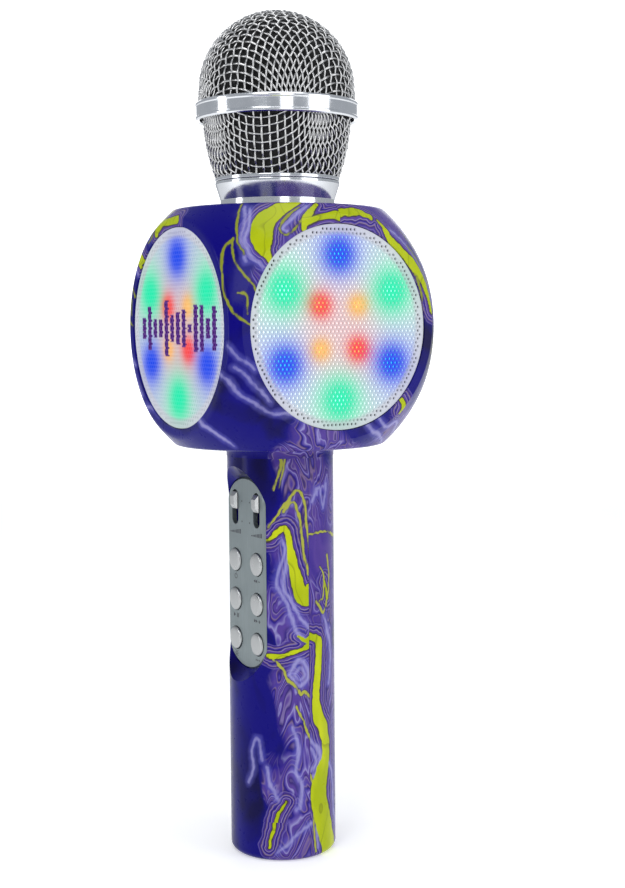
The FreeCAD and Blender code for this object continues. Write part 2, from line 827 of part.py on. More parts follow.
# ---- loudspeakers ----
def speaker_frame(name):
    inner = speaker_radius - gasket_width
    flange = ring_x(speaker_radius, inner, speaker_back, speaker_face)
    floor_x = speaker_back - speaker_depth
    basket = cone_shell_x(speaker_back, floor_x, inner + speaker_wall, speaker_throat, speaker_wall)
    floor = ring_x(speaker_throat, cone_throat + 0.6, floor_x - 1.0, floor_x)
    shape = joined([flange, basket, floor])
    window = 5.0
    for turn in (45, 135, 225, 315):
        slot = block((floor_x + 2, speaker_back - 2), (-window, window), (0, speaker_radius + 2))
        slot.rotate(V(0, 0, 0), AXIS_X, turn)
        shape = shape.cut(slot)
    return on_face(shape, name)


def speaker_cone(name):
    rim = speaker_radius - gasket_width - 0.1
    face = speaker_face - 0.4
    roll = ring_x(rim, rim - 3.0, face - cone_thickness, face)
    sides = cone_shell_x(face - cone_thickness, face - cone_depth, rim - 2.6, cone_throat, cone_thickness)
    dust_cap = disc_x(cone_throat, face - cone_depth - cone_thickness, face - cone_depth)
    return on_face(joined([roll, sides, dust_cap]), name)


def speaker_magnet(name):
    back = speaker_back - speaker_depth - 1.0
    return on_face(disc_x(magnet_radius, back - magnet_height, back), name)


def speaker_gasket(name):
    inner = speaker_radius - gasket_width
    return on_face(ring_x(speaker_radius, inner, speaker_face, led_board_back), name)


# ---- collar and capsule ----
def neck_collar():
    foot = housing_top
    top = foot + collar_height
    bore_floor = top - thread_length - 1.0
    flange_top = foot - housing_wall - slide_fit
    return turned([
        (collar_cable_radius, flange_top - collar_flange_thickness),
        (collar_flange_radius, flange_top - collar_flange_thickness),
        (collar_flange_radius, flange_top),
        (collar_neck_radius, flange_top),
        (collar_neck_radius, foot),
        (collar_foot_radius, foot),
        (collar_foot_radius + 0.2, foot + collar_foot_height),
        (collar_top_radius, top),
        (collar_bore, top),
        (collar_bore, bore_floor),
        (collar_cable_radius, bore_floor),
    ])


def capsule_mount():
    """Rubber cup that the capsule is pushed into, plugged into the collar's bore."""
    floor = housing_top + collar_height - thread_length - 1.0
    low = floor - mount_height + collar_floor
    plug = ring(collar_cable_radius, capsule_radius, low, floor + collar_floor)
    lip = ring(collar_cable_radius + 2.0, capsule_radius, floor, floor + collar_floor)
    return joined([plug, lip])


def mic_capsule():
    floor = housing_top + collar_height - thread_length - 1.0
    low = floor - mount_height + collar_floor + 1.0
    body = post(capsule_radius, low, low + capsule_height)
    rim = [edge for edge in body.Edges if abs(edge.CenterOfMass.z - low - capsule_height) < 0.01]
    return body.makeFillet(1.0, rim)


# ---- ball head ----
def head_height(value):
    return housing_top + value


def grille_base_ring():
    """Thin ring under the mesh, and the threaded skirt that screws into the collar."""
    low = housing_top + collar_height + head_seat_gap
    skirt = collar_bore - thread_clearance
    inner = skirt - thread_wall
    return turned([
        (inner, low - thread_length + 0.4),
        (skirt, low - thread_length + 0.4),
        (skirt, low),
        (base_ring_radius, low),
        (base_ring_radius, low + base_ring_height),
        (inner, low + base_ring_height),
    ])


def bowl_start():
    return housing_top + collar_height + head_seat_gap + base_ring_height


def arc(a, b, c):
    return Part.Arc(V(a[0], 0, a[1]), V(b[0], 0, b[1]), V(c[0], 0, c[1])).toShape()


def lathe_path(points):
    corners = [V(r, 0, z) for r, z in points]
    return [Part.makeLine(corners[i], corners[i + 1]) for i in range(len(corners) - 1)]


def bowl_profile(inset):
    """Start, middle and end of the bowl's curve, moved inwards by the inset."""
    return [(base_ring_radius - inset, bowl_start()),
            (mesh_edge_radius + bowl_mid[0] - inset, head_height(bowl_mid[1])),
            (mesh_edge_radius + bowl_top[0] - inset, head_height(bowl_top[1]))]


def grille_bowl():
    low, mid, top = bowl_profile(0)
    in_low, in_mid, in_top = bowl_profile(mesh_thickness)
    edge_low = head_height(ring_start)
    edge_top = head_height(ring_start + ring_height * mesh_edge_split)
    edge_inner = mesh_edge_radius - mesh_thickness
    outline = [arc(low, mid, top)]
    outline += lathe_path([top, (mesh_edge_radius, edge_low + 0.4), (mesh_edge_radius, edge_top),
                           (edge_inner, edge_top), (edge_inner, edge_low + 0.4), in_top])
    outline.append(arc(in_top, in_mid, in_low))
    outline += lathe_path([in_low, low])
    return turned_edges(outline)


def grille_ring():
    low = head_height(ring_start)
    top = low + ring_height
    return turned([
        (mesh_edge_radius, low + 0.4),
        (ring_edge, low),
        (ring_radius, low + ring_chamfer),
        (ring_radius, top - ring_chamfer),
        (ring_radius - ring_chamfer, top),
        (mesh_edge_radius, top),
    ])


def dome_profile(inset):
    """Shoulder, shoulder-to-crown middle and crown of the dome."""
    centre = head_height(dome_shoulder)
    radius = dome_radius - inset
    diagonal = radius * math.sqrt(0.5)
    return [(radius, centre), (diagonal, centre + diagonal), (0, centre + radius)]


def grille_dome():
    side, mid, crown = dome_profile(0)
    in_side, in_mid, in_crown = dome_profile(mesh_thickness)
    edge_low = head_height(ring_start + ring_height * mesh_edge_split) + 0.4
    edge_top = head_height(ring_start + ring_height)
    edge_inner = mesh_edge_radius - mesh_thickness
    outline = lathe_path([(edge_inner, edge_low), (mesh_edge_radius, edge_low),
                          (mesh_edge_radius, edge_top), side])
    outline.append(arc(side, mid, crown))
    outline += lathe_path([crown, in_crown])
    outline.append(arc(in_crown, in_mid, in_side))
    outline += lathe_path([in_side, (edge_inner, edge_low)])
    return turned_edges(outline)


def foam_liner():
    """Foam lining, one curve down the dome and one down the bowl, open at the bottom."""
    outer = mesh_thickness + foam_gap
    inner = outer + foam_thickness
    side, mid, crown = dome_profile(outer)
    in_side, in_mid, in_crown = dome_profile(inner)
    low, bowl, top = bowl_profile(outer)
    in_low, in_bowl, in_top = bowl_profile(inner)
    low = (low[0], low[1] + foam_gap)
    in_low = (in_low[0], in_low[1] + foam_gap)
    outline = [arc(low, bowl, top)]
    outline += lathe_path([top, side])
    outline.append(arc(side, mid, crown))
    outline += lathe_path([crown, in_crown])
    outline.append(arc(in_crown, in_mid, in_side))
    outline += lathe_path([in_side, in_top])
    outline.append(arc(in_top, in_bowl, in_low))
    outline += lathe_path([in_low, low])
    return turned_edges(outline)


# ---- all pieces ----
def build():
    pieces = {
        "handle_front_shell": handle_front_shell(),
        "handle_rear_shell": handle_rear_shell(),
        "handle_screw": handle_screw(),
        "end_cap": end_cap(),
        "end_cap_screws": cap_screws(),
        "headphone_jack": headphone_jack(),
        "charging_socket": edge_socket(usb_x, usb_width, usb_height, usb_depth, 0.7),
        "memory_card_socket": edge_socket(card_x, card_width, card_height, card_depth, 0.5),
        "socket_board": socket_board(),
        "control_panel": control_panel(),
        "main_board": main_board(),
        "board_screws": board_screws(),
        "board_components": board_components(),
        "tact_switches": tact_switches(),
        "slide_potentiometers": slide_potentiometers(),
        "battery_cell": battery_cell(),
        "housing_front_shell": housing_shell(-1),
        "housing_rear_shell": housing_shell(1),
        "housing_screws": housing_screws(),
        "neck_collar": neck_collar(),
        "capsule_mount": capsule_mount(),
        "mic_capsule": mic_capsule(),
        "grille_base_ring": grille_base_ring(),
        "grille_bowl": grille_bowl(),
        "grille_ring": grille_ring(),
        "grille_dome": grille_dome(),
        "foam_liner": foam_liner(),
        "slider_knob_left": slider_knob(slot_columns[0]),
        "slider_knob_right": slider_knob(slot_columns[1]),
    }
    for row, z in zip(("top", "middle", "bottom"), button_rows):
        for side, x in zip(("left", "right"), button_columns):
            pieces["button_%s_%s" % (row, side)] = button(x, z)
    for name in FACES:
        pieces["speaker_grille_" + name] = speaker_grille(name)
        pieces["diffuser_" + name] = diffuser(name)
        pieces["led_board_" + name] = led_board(name)
        pieces["leds_" + name] = leds(name)
    for name in ("left", "right"):
        pieces["speaker_frame_" + name] = speaker_frame(name)
        pieces["speaker_cone_" + name] = speaker_cone(name)
        pieces["speaker_magnet_" + name] = speaker_magnet(name)
        pieces["speaker_gasket_" + name] = speaker_gasket(name)
    return pieces


os.makedirs("parts", exist_ok=True)
for node, shape in build().items():
    shape.exportStep("parts/%s.step" % node)
    print(node, len(shape.Solids), "solids", round(shape.Volume, 1), "valid", shape.isValid())
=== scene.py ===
import json
import math

import bmesh
import bpy
import numpy as np
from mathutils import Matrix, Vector
from mathutils.geometry import tessellate_polygon
from mathutils.kdtree import KDTree


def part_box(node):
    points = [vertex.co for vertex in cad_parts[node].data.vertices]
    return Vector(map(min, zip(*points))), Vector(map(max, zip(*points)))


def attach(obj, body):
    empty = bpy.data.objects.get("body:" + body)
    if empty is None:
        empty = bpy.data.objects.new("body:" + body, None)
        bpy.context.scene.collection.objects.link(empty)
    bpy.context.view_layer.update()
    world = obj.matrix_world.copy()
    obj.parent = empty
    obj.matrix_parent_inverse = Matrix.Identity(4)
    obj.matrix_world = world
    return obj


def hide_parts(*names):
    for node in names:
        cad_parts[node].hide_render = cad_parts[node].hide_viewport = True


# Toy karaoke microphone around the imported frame. Lengths are millimetres until a mesh is made,
# then metres. Each piece is one function, and the paint's strokes are in charts of the surface.

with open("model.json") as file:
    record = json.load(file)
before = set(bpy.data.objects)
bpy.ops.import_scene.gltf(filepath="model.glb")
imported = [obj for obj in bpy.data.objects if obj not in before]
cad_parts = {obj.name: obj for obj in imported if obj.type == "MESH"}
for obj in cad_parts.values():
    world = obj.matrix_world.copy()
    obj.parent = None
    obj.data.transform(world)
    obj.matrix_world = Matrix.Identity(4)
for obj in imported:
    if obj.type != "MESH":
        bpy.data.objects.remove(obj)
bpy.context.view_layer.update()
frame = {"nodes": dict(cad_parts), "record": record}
nodes = frame["nodes"]
MM = 0.001


# ---------------------------------------------------------------- sizes from the frame
def low(node, axis):
    """Low side of a CAD node's box along an axis (0, 1 or 2)."""
    return float(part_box(node)[0][axis]) / MM


def high(node, axis):
    return float(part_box(node)[1][axis]) / MM


HANDLE_R = high("handle_rear_shell", 1)
CAP_TOP = low("handle_front_shell", 2)
NECK_Z = low("housing_front_shell", 2)
HOUSING_HALF = high("housing_front_shell", 0)
HOUSING_TOP = high("housing_front_shell", 2)
HOUSING_Z = (low("speaker_grille_right", 2) + high("speaker_grille_right", 2)) / 2
HOUSING_MIDDLE = (0, 0, HOUSING_Z)
HALF_HEIGHT = HOUSING_TOP - HOUSING_Z
HOUSING_BOTTOM = HOUSING_Z - HALF_HEIGHT
GRILLE_R = high("speaker_grille_right", 2) - HOUSING_Z
GRILLE_FACE = high("speaker_grille_right", 0)
GRILLE_BACK = low("speaker_grille_right", 0)
PANEL_FACE = -low("control_panel", 1)
PANEL_BACK = -high("control_panel", 1)
PANEL_HIGH = high("control_panel", 2)
ROWS = ("top", "middle", "bottom")

# sizes that the frame's boxes don't give
GRILLE_BORDER = 2.97
SPHERE_R = math.hypot(HOUSING_HALF, GRILLE_R + GRILLE_BORDER)
NECK_STEP = 0.15
NECK_FLARE = 3.0
SEAM_GAP = 0.10
CAP_ROUND = 2.4
DOME_R = 24.3
FOAM_OUTER, FOAM_INNER = 1.45, 5.3     # inside the mesh
HANDLE_WALL = 2.0
HOUSING_ROUND = 2.2


# ---------------------------------------------------------------- mesh helpers
def new_piece(name, vertices, faces, sharp=35.0):
    """A mesh piece from points in millimetres, smooth except across angles over sharp degrees."""
    mesh = bpy.data.meshes.new(name)
    mesh.from_pydata((np.asarray(vertices, float) * MM).tolist(), [], faces)
    mesh.update()
    piece = bpy.data.objects.new(name, mesh)
    bpy.context.scene.collection.objects.link(piece)
    tidy(piece, sharp)
    return piece


def tidy(piece, sharp=35.0, weld=0.0005):
    """Welds double points, turns all faces outwards and sets the smoothing."""
    grid = bmesh.new()
    grid.from_mesh(piece.data)
    bmesh.ops.remove_doubles(grid, verts=grid.verts, dist=weld * MM)
    bmesh.ops.recalc_face_normals(grid, faces=grid.faces)
    grid.to_mesh(piece.data)
    grid.free()
    smooth(piece, sharp)


def smooth(piece, sharp=35.0):
    piece.data.polygons.foreach_set("use_smooth", [True] * len(piece.data.polygons))
    piece.data.set_sharp_from_angle(angle=math.radians(sharp))
    piece.data.update()


def grid_faces(rows, columns, wrap_columns=False, wrap_rows=False):
    """Quads of a grid whose points are numbered row by row."""
    faces = []
    for i in range(rows if wrap_rows else rows - 1):
        for j in range(columns if wrap_columns else columns - 1):
            i2, j2 = (i + 1) % rows, (j + 1) % columns
            faces.append((i * columns + j, i * columns + j2, i2 * columns + j2, i2 * columns + j))
    return faces


def rounded_outline(corners, steps=6):
    """Closed (r, z) outline from corners (r, z, fillet radius), each fillet a round stretch."""
    points = []
    count = len(corners)
    for i, (r, z, fillet) in enumerate(corners):
        here = np.array([r, z], float)
        if fillet <= 0:
            points.append(here)
            continue
        before = np.array(corners[i - 1][:2], float) - here
        after = np.array(corners[(i + 1) % count][:2], float) - here
        a, b = before / np.linalg.norm(before), after / np.linalg.norm(after)
        half = math.acos(float(np.clip(np.dot(a, b), -1, 1))) / 2
        reach = fillet / math.tan(half)
        centre = here + (a + b) / np.linalg.norm(a + b) * fillet / math.sin(half)
        start, end = here + a * reach - centre, here + b * reach - centre
        for k in range(steps + 1):
            t = k / steps
            swing = (start * math.sin((1 - t) * (math.pi / 2 - half) + 1e-9)
                     + end * math.sin(t * (math.pi / 2 - half) + 1e-9))
            points.append(centre + swing / np.linalg.norm(swing) * fillet)
    return points


def held(outline, reach=0.06):
    """Adds a point close to each end of a straight stretch, so that its shading stays flat."""
    kept = []
    for i, here in enumerate(outline):
        after = outline[(i + 1) % len(outline)]
        length = math.dist(here, after)
        kept.append(here)
        if length > 5 * reach:
            for t in (reach / length, 1 - reach / length):
                kept.append((here[0] + (after[0] - here[0]) * t, here[1] + (after[1] - here[1]) * t))
    return kept


def lathe(name, outline, segments=192, sharp=30.0, axis="z", centre=(0, 0, 0)):
    """A closed outline turned about an axis. The outline's second value runs along that axis."""
    outline = held([(max(float(p[0]), 0.0), float(p[1])) for p in outline])
    turns = np.arange(segments) * 2 * math.pi / segments
    points = []
    for r, h in outline:
        ring = np.stack([r * np.cos(turns), r * np.sin(turns), np.full(segments, h)], -1)
        points.append(ring)
    points = np.concatenate(points)
    if axis == "y":
        points = points[:, [0, 2, 1]]
    piece = new_piece(name, points + np.array(centre), grid_faces(len(outline), segments, True, True), sharp)
    drop_flat_faces(piece)
    return piece


def drop_flat_faces(piece):
    """Removes faces that a welded axis left with no area."""
    grid = bmesh.new()
    grid.from_mesh(piece.data)
    bmesh.ops.dissolve_degenerate(grid, edges=grid.edges, dist=1e-7)
    grid.to_mesh(piece.data)
    grid.free()


SLOT_OF = {part["node"]: part["material_slot"] for part in frame["record"]["subparts"]}
BODY_OF = {node: body for body, members in frame["record"]["behaviour"]["bodies"].items() for node in members}


def stand_for(piece, node, material):
    """The piece takes the node's place and body, and the material given to it."""
    piece.data.materials.clear()
    piece.data.materials.append(material)
    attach(piece, BODY_OF[node])
    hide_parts(node)
    return piece


# ---------------------------------------------------------------- shader helpers
class Shader:
    """A node tree that is written top down: put() adds a node and returns an output socket."""

    def __init__(self, name):
        self.material = bpy.data.materials.new(name)
        self.material.use_nodes = True
        self.tree = self.material.node_tree
        self.tree.nodes.clear()
        self.place = self.put("ShaderNodeTexCoord", out="Object")

    def put(self, kind, inputs=None, out=0, **settings):
        node = self.tree.nodes.new(kind)
        for key, value in settings.items():
            setattr(node, key, value)
        for key, value in (inputs or {}).items():
            if isinstance(value, bpy.types.NodeSocket):
                self.tree.links.new(value, node.inputs[key])
            else:
                node.inputs[key].default_value = value
        return node.outputs[out]

    def math(self, operation, a, b=0.0, c=0.0):
        return self.put("ShaderNodeMath", {0: a, 1: b, 2: c}, operation=operation)

    def vector(self, operation, a, b=(0, 0, 0), out=0):
        return self.put("ShaderNodeVectorMath", {0: a, 1: b}, out, operation=operation)

    def scaled(self, a, factor):
        return self.put("ShaderNodeVectorMath", {0: a, "Scale": factor}, 0, operation="SCALE")

    def noise(self, scale, detail=2.0, roughness=0.5, vector=None, out=0, distortion=0.0):
        inputs = {"Vector": vector or self.place, "Scale": scale, "Detail": detail,
                  "Roughness": roughness, "Distortion": distortion}
        return self.put("ShaderNodeTexNoise", inputs, out)

    def ramp(self, value, stops):
        node = self.tree.nodes.new("ShaderNodeValToRGB")
        elements = node.color_ramp.elements
        while len(elements) < len(stops):
            elements.new(0.5)
        for element, (position, colour) in zip(elements, stops):
            element.position = position
            element.color = (*colour, 1)
        self.tree.links.new(value, node.inputs[0])
        return node.outputs[0]

    def span(self, value, start, end, to_start=0.0, to_end=1.0):
        return self.put("ShaderNodeMapRange", {"Value": value, "From Min": start, "From Max": end,
                                               "To Min": to_start, "To Max": to_end}, clamp=True)

    def mix(self, factor, a, b):
        node = self.tree.nodes.new("ShaderNodeMix")
        node.data_type = "RGBA"
        for key, value in ((0, factor), (6, a), (7, b)):
            if isinstance(value, bpy.types.NodeSocket):
                self.tree.links.new(value, node.inputs[key])
            else:
                node.inputs[key].default_value = (*value, 1) if key else value
        return node.outputs[2]

    def field(self, name):
        return self.put("ShaderNodeAttribute", out="Fac", attribute_name=name)

    def bump(self, height, distance):
        return self.put("ShaderNodeBump", {"Height": height, "Distance": distance, "Strength": 1.0})

    def finish(self, colour, inputs=None):
        """Ends the tree in a Principled shader. Constants go straight on its sockets."""
        shader = self.tree.nodes.new("ShaderNodeBsdfPrincipled")
        for key, value in {"Base Color": colour, **(inputs or {})}.items():
            if isinstance(value, bpy.types.NodeSocket):
                self.tree.links.new(value, shader.inputs[key])
            else:
                shader.inputs[key].default_value = (*value, 1) if "Color" in key else value
        output = self.tree.nodes.new("ShaderNodeOutputMaterial")
        self.tree.links.new(shader.outputs[0], output.inputs[0])
        return self.material


# ---------------------------------------------------------------- smooth copies of painted CAD pieces
def node_mesh(node):
    """Points in millimetres and triangles of a CAD node, with double points joined."""
    grid = bmesh.new()
    grid.from_mesh(nodes[node].data)
    bmesh.ops.remove_doubles(grid, verts=grid.verts, dist=0.0003 * MM)
    bmesh.ops.triangulate(grid, faces=grid.faces)
    grid.verts.index_update()
    points = np.array([v.co for v in grid.verts]) / MM
    triangles = np.array([[v.index for v in face.verts] for face in grid.faces])
    grid.free()
    return points, triangles


def refine(points, triangles, size, painted, snap, rounds=14):
    """Splits edges of the painted surface until none is longer than size, and keeps it on its true shape."""
    points = snap(points)
    for _ in range(rounds):
        edges = np.sort(triangles[:, [[0, 1], [1, 2], [2, 0]]].reshape(-1, 2), 1)
        keys, where = np.unique(edges[:, 0] * len(points) + edges[:, 1], return_inverse=True)
        unique = np.stack([keys // len(points), keys % len(points)], 1)
        where = where.reshape(-1, 3)
        ends = points[unique]
        outside = painted(points)
        long = np.linalg.norm(ends[:, 0] - ends[:, 1], axis=1) > size
        long &= outside[unique].all(1) & painted(ends.mean(1), 0.35)
        if not long.any():
            break
        number = np.full(len(unique), -1)
        number[long] = len(points) + np.arange(long.sum())
        points = snap(np.vstack([points, ends[long].mean(1)]))
        middle = number[where]
        split = middle >= 0
        count = split.sum(1)
        kept = [triangles[count == 0]]
        for turn in range(3):
            i, j, k = turn, (turn + 1) % 3, (turn + 2) % 3
            one = (count == 1) & split[:, i]
            a, b, c, m = triangles[one, i], triangles[one, j], triangles[one, k], middle[one, i]
            kept += [np.stack([a, m, c], 1), np.stack([m, b, c], 1)]
            two = (count == 2) & ~split[:, k]
            a, b, c = triangles[two, i], triangles[two, j], triangles[two, k]
            m, n = middle[two, i], middle[two, j]
            kept += [np.stack([m, b, n], 1), np.stack([a, m, n], 1), np.stack([a, n, c], 1)]
        all_three = count == 3
        a, b, c = triangles[all_three].T
        m, n, o = middle[all_three].T
        kept += [np.stack([a, m, o], 1), np.stack([m, b, n], 1), np.stack([o, n, c], 1), np.stack([m, n, o], 1)]
        triangles = np.concatenate(kept)
    return points, triangles


def snap_to(shapes, reach=0.05):
    """A function that moves points onto the nearest true shape when they lie within reach of it."""
    def snap(points):
        points = points.copy()
        best = np.full(len(points), reach)
        result = points.copy()
        for shape in shapes:
            moved = shape(points)
            distance = np.linalg.norm(moved - points, axis=1)
            closer = distance < best
            result[closer] = moved[closer]
            best[closer] = distance[closer]
        return result
    return snap


def tube_shape(radius, low_z, high_z):
    def onto(p):
        r = np.hypot(p[:, 0], p[:, 1])
        q = p.copy()
        q[:, :2] *= (radius / np.maximum(r, 1e-6))[:, None]
        q[(p[:, 2] < low_z) | (p[:, 2] > high_z)] += 99
        return q
    return onto


def round_shape(major, minor, height, axis, sense, centre=(0, 0, 0)):
    """Part of a torus about an axis: the side of it where sense holds."""
    others = [i for i in range(3) if i != axis]

    def onto(p):
        local = p - np.array(centre)
        r = np.maximum(np.hypot(local[:, others[0]], local[:, others[1]]), 1e-6)
        across, along = r - major, local[:, axis] - height
        span = np.maximum(np.hypot(across, along), 1e-6)
        new_r, new_h = major + across / span * minor, height + along / span * minor
        q = local.copy()
        q[:, others[0]] *= new_r / r
        q[:, others[1]] *= new_r / r
        q[:, axis] = new_h
        q += np.array(centre)
        q[~sense(across, along)] += 99
        return q
    return onto


def ball_shape(radius, centre):
    def onto(p):
        local = p - np.array(centre)
        return local * (radius / np.maximum(np.linalg.norm(local, axis=1), 1e-6))[:, None] + np.array(centre)
    return onto


def smooth_copy(node, size, painted, shapes, sharp=28.0):
    """A finer copy of a CAD node whose round surfaces are true, with its seam side pulled back a little."""
    points, triangles = refine(*node_mesh(node), size, painted, snap_to(shapes))
    seam = np.abs(points[:, 1]) < 0.001
    if "front" in node:
        points[seam, 1] -= SEAM_GAP / 2
    if "rear" in node:
        points[seam, 1] += SEAM_GAP / 2
    piece = new_piece("paint_" + node, points, triangles.tolist(), sharp)
    soften_slivers(piece)
    return piece


def soften_slivers(piece):
    """Takes the sharp marks off very thin triangles, and weights the shading by area."""
    grid = bmesh.new()
    grid.from_mesh(piece.data)
    for edge in grid.edges:
        if not edge.smooth:
            for face in edge.link_faces:
                longest = max(side.calc_length() for side in face.edges)
                if face.calc_area() < 0.08 * longest * longest and longest < 1.2 * MM:
                    edge.smooth = True
    grid.to_mesh(piece.data)
    grid.free()
    even = piece.modifiers.new("even shading", "WEIGHTED_NORMAL")
    even.mode, even.keep_sharp = "FACE_AREA", True


# ---------------------------------------------------------------- marbled paint
def stretches(knots):
    """Each stretch of a line through knots, as its two ends and their outer neighbours."""
    padded = np.vstack([2 * knots[0] - knots[1], knots, 2 * knots[-1] - knots[-2]])
    return [padded[i - 1:i + 3] for i in range(1, len(padded) - 2)]


def spline(p0, p1, p2, p3, t):
    """Catmull-Rom point at t on the stretch from p1 to p2."""
    return 0.5 * (2 * p1 + (p2 - p0) * t + (2 * p0 - 5 * p1 + 4 * p2 - p3) * t ** 2
                  + (3 * p1 - p0 - 3 * p2 + p3) * t ** 3)


def curve_through(knots, step):
    """Smooth line through knots, with about one point per step of their first two values."""
    knots = np.array(knots, float)
    line = []
    for stretch in stretches(knots):
        count = max(2, int(np.linalg.norm((stretch[2] - stretch[1])[:2]) / step))
        line.append(spline(*stretch, (np.arange(count) / count)[:, None]))
    line.append(knots[-1:])
    return np.vstack(line)


def on_handle(a, z):
    a = np.radians(a - 90)
    return np.stack([HANDLE_R * np.cos(a), HANDLE_R * np.sin(a), z], -1)


def on_housing(lon, lat):
    """Point of the rounded cube in a direction from its centre."""
    lon, lat = np.radians(lon - 90), np.radians(lat)
    way = np.stack([np.cos(lat) * np.cos(lon), np.cos(lat) * np.sin(lon), np.sin(lat)], -1)
    flat = np.min(np.array([HOUSING_HALF, HOUSING_HALF, HALF_HEIGHT]) / np.maximum(np.abs(way), 1e-6), -1)
    return way * np.minimum(flat, SPHERE_R)[..., None] + np.array([0, 0, HOUSING_Z])


FAR = 4.5          # distances to strokes are only told up to here
STROKE_STEP = 0.35


def stroke_distance(points, strokes, chart, turn=0.0, flip=None):
    """Distance to the nearest stroke's edge: negative inside. Knots are (angle, height, half width)."""
    best = np.full(len(points), FAR)
    for stroke in strokes:
        angle, height, half = curve_through(stroke, STROKE_STEP).T
        if flip is not None:
            height = flip - height
        path = chart(angle + turn, height)
        margin = FAR + half.max()
        near = ((points > path.min(0) - margin) & (points < path.max(0) + margin)).all(1)
        tree = KDTree(len(path))
        for k, knot in enumerate(path.tolist()):
            tree.insert(knot, k)
        tree.balance()
        found = [(hit[2], hit[1]) for hit in map(tree.find, points[near].tolist())]
        if found:
            gap, k = np.array(found).T
            best[near] = np.minimum(best[near], gap - half[k.astype(int)])
    return best


def ripple(points, scale, seed, amount):
    """Smooth sideways waves that make drawn lines waver like poured paint."""
    rng = np.random.default_rng(seed)
    out = np.zeros_like(points)
    for octave in range(3):
        ways = rng.normal(size=(3, 3)) * (2 * math.pi / scale) * 1.9 ** octave
        phases = rng.uniform(0, 2 * math.pi, (3, 3))
        for axis in range(3):
            out[:, axis] += np.sin(points @ ways[axis] + phases[axis, 0]) * amount / 1.8 ** octave
    return points + out


def paint(piece, points, strokes, chart, turn, flip, seed):
    """Stores how far a piece's points are from each kind of stroke. The strokes also have a
    second copy, turned about the axis and mirrored at half the height flip."""
    warped = ripple(points, 9.0, seed, 0.22)
    for name, kind in strokes.items():
        first = stroke_distance(warped, kind, chart)
        store(piece, name, np.minimum(first, stroke_distance(warped, kind, chart, turn, flip)))


def store(piece, name, values):
    field = piece.data.attributes.new(name, "FLOAT", "POINT")
    field.data.foreach_set("value", np.asarray(values, np.float32))


def ease(values, start, end):
    t = np.clip((values - start) / (end - start), 0, 1)
    return t * t * (3 - 2 * t)


def handle_tone(points):
    """How purple the ground colour is: 0 on the navy side, 1 beside the lime veins."""
    waved = ripple(points, 34.0, 11, 3.0)
    angle = np.degrees(np.arctan2(waved[:, 0], -waved[:, 1]))
    return np.maximum(ease(angle, 38, 62) * (1 - ease(angle, 118, 160)),
                      0.85 * ease(angle, -178, -150) * (1 - ease(angle, -132, -105)))


# How purple the housing's ground colour is: more towards its top and bottom, less along the upright corners.
# Partly painted light: the factor lit paints the side turned to the lamps a lighter purple.
def housing_tone(points):
    waved = ripple(points, 42.0, 12, 4.0)
    height = waved[:, 2] - HOUSING_Z
    angle = np.degrees(np.arctan2(waved[:, 1], waved[:, 0]))
    corner = np.abs((angle % 90) - 45)
    way = np.degrees(np.arctan2(waved[:, 0], -waved[:, 1]))
    # painted light: lighter purple on the side that faces the key, near and side lamps
    lit = ease(way, 50, 62) * (1 - ease(way, 150, 175))
    return np.clip(ease(height, 4, 26) * (0.25 + 0.75 * lit) * (1 - 0.5 * ease(corner, 10, 2))
                   + (0.25 + 0.4 * lit) * ease(-height, 24, 35), 0, 1)


# strokes of paint. Knots are (angle in degrees, height, half width) on the handle
HANDLE_FRONT = {"lime": [
    [(45, 104, .5), (56, 106.5, .8), (64, 108, 1.0), (68, 105, 1.0), (71, 99, 1.3), (75, 93, 2.0),
     (80, 87.5, 2.4), (86, 85.5, 2.6), (93, 87, 3.0)],
    [(44, 67.3, .5), (54, 66.8, .7), (67, 67.9, .6), (78, 68.4, .6), (87.6, 70, .9), (92, 71.8, 1.1)],
    [(76.5, 73.4, .3), (85.8, 71.8, .7), (93, 72.9, .9)],
    [(63.6, 19.6, .3), (54, 16, .5), (49, 10.7, .6), (43, 4.6, .4)],
], "thin": [
    [(47, 108.4, .25), (63.6, 115, .3), (74.7, 119.5, .3), (84, 117, .3), (87.6, 108, .3), (93, 97, .3)],
    [(63.6, 113, .25), (69, 116, .25), (74.7, 115.7, .3), (80, 109.5, .3), (84, 100.7, .3), (90, 93, .25)],
    [(50.7, 66, .3), (60, 63, .3), (65.5, 59.5, .35), (74.7, 57, .3), (80, 54.5, .3), (84, 55, .3),
     (91, 53.4, .3)],
    [(74.7, 50.6, .25), (82, 46, .25), (91, 39.5, .3)],
    [(52, 120, .2), (56, 124, .25), (60, 129, .25), (55, 132, .2)],
    [(58, 121, .2), (61, 125, .25), (63, 130, .2)],
], "pale": [
    [(60.7, 104, .3), (63.6, 100.7, .35), (56, 94, .3), (55.5, 89.5, .35), (65.5, 83, .35), (74.7, 75, .4),
     (85.8, 71.8, .4)],
    [(69, 101.8, .25), (65, 96, .35), (60.7, 89.5, .35), (71, 84, .4), (78, 79.5, .4), (91, 75, .4)],
    [(41.5, 30.7, .3), (44.4, 26, .4), (50.7, 23, .4), (54, 20.7, .3)],
    [(54, 3, .2), (63.6, 6, .3), (78, 9.6, .3), (91, 11.8, .3), (98.6, 8.4, .3), (100.5, 3, .2)],
    [(68, 61, .3), (78, 65.5, .4), (89, 61, .4), (79, 57, .4), (68, 61, .3)],
    [(73, 61, .2), (79, 63.2, .25), (85, 61, .25), (79, 59, .25), (73, 61, .2)],
    [(20, 25, .2), (26, 30, .3), (24, 36, .3), (33, 40, .3), (36, 33, .2)],
    [(70, 44, .25), (76, 37, .4), (73, 30, .3), (80, 24, .35), (78, 17, .25)],
]}
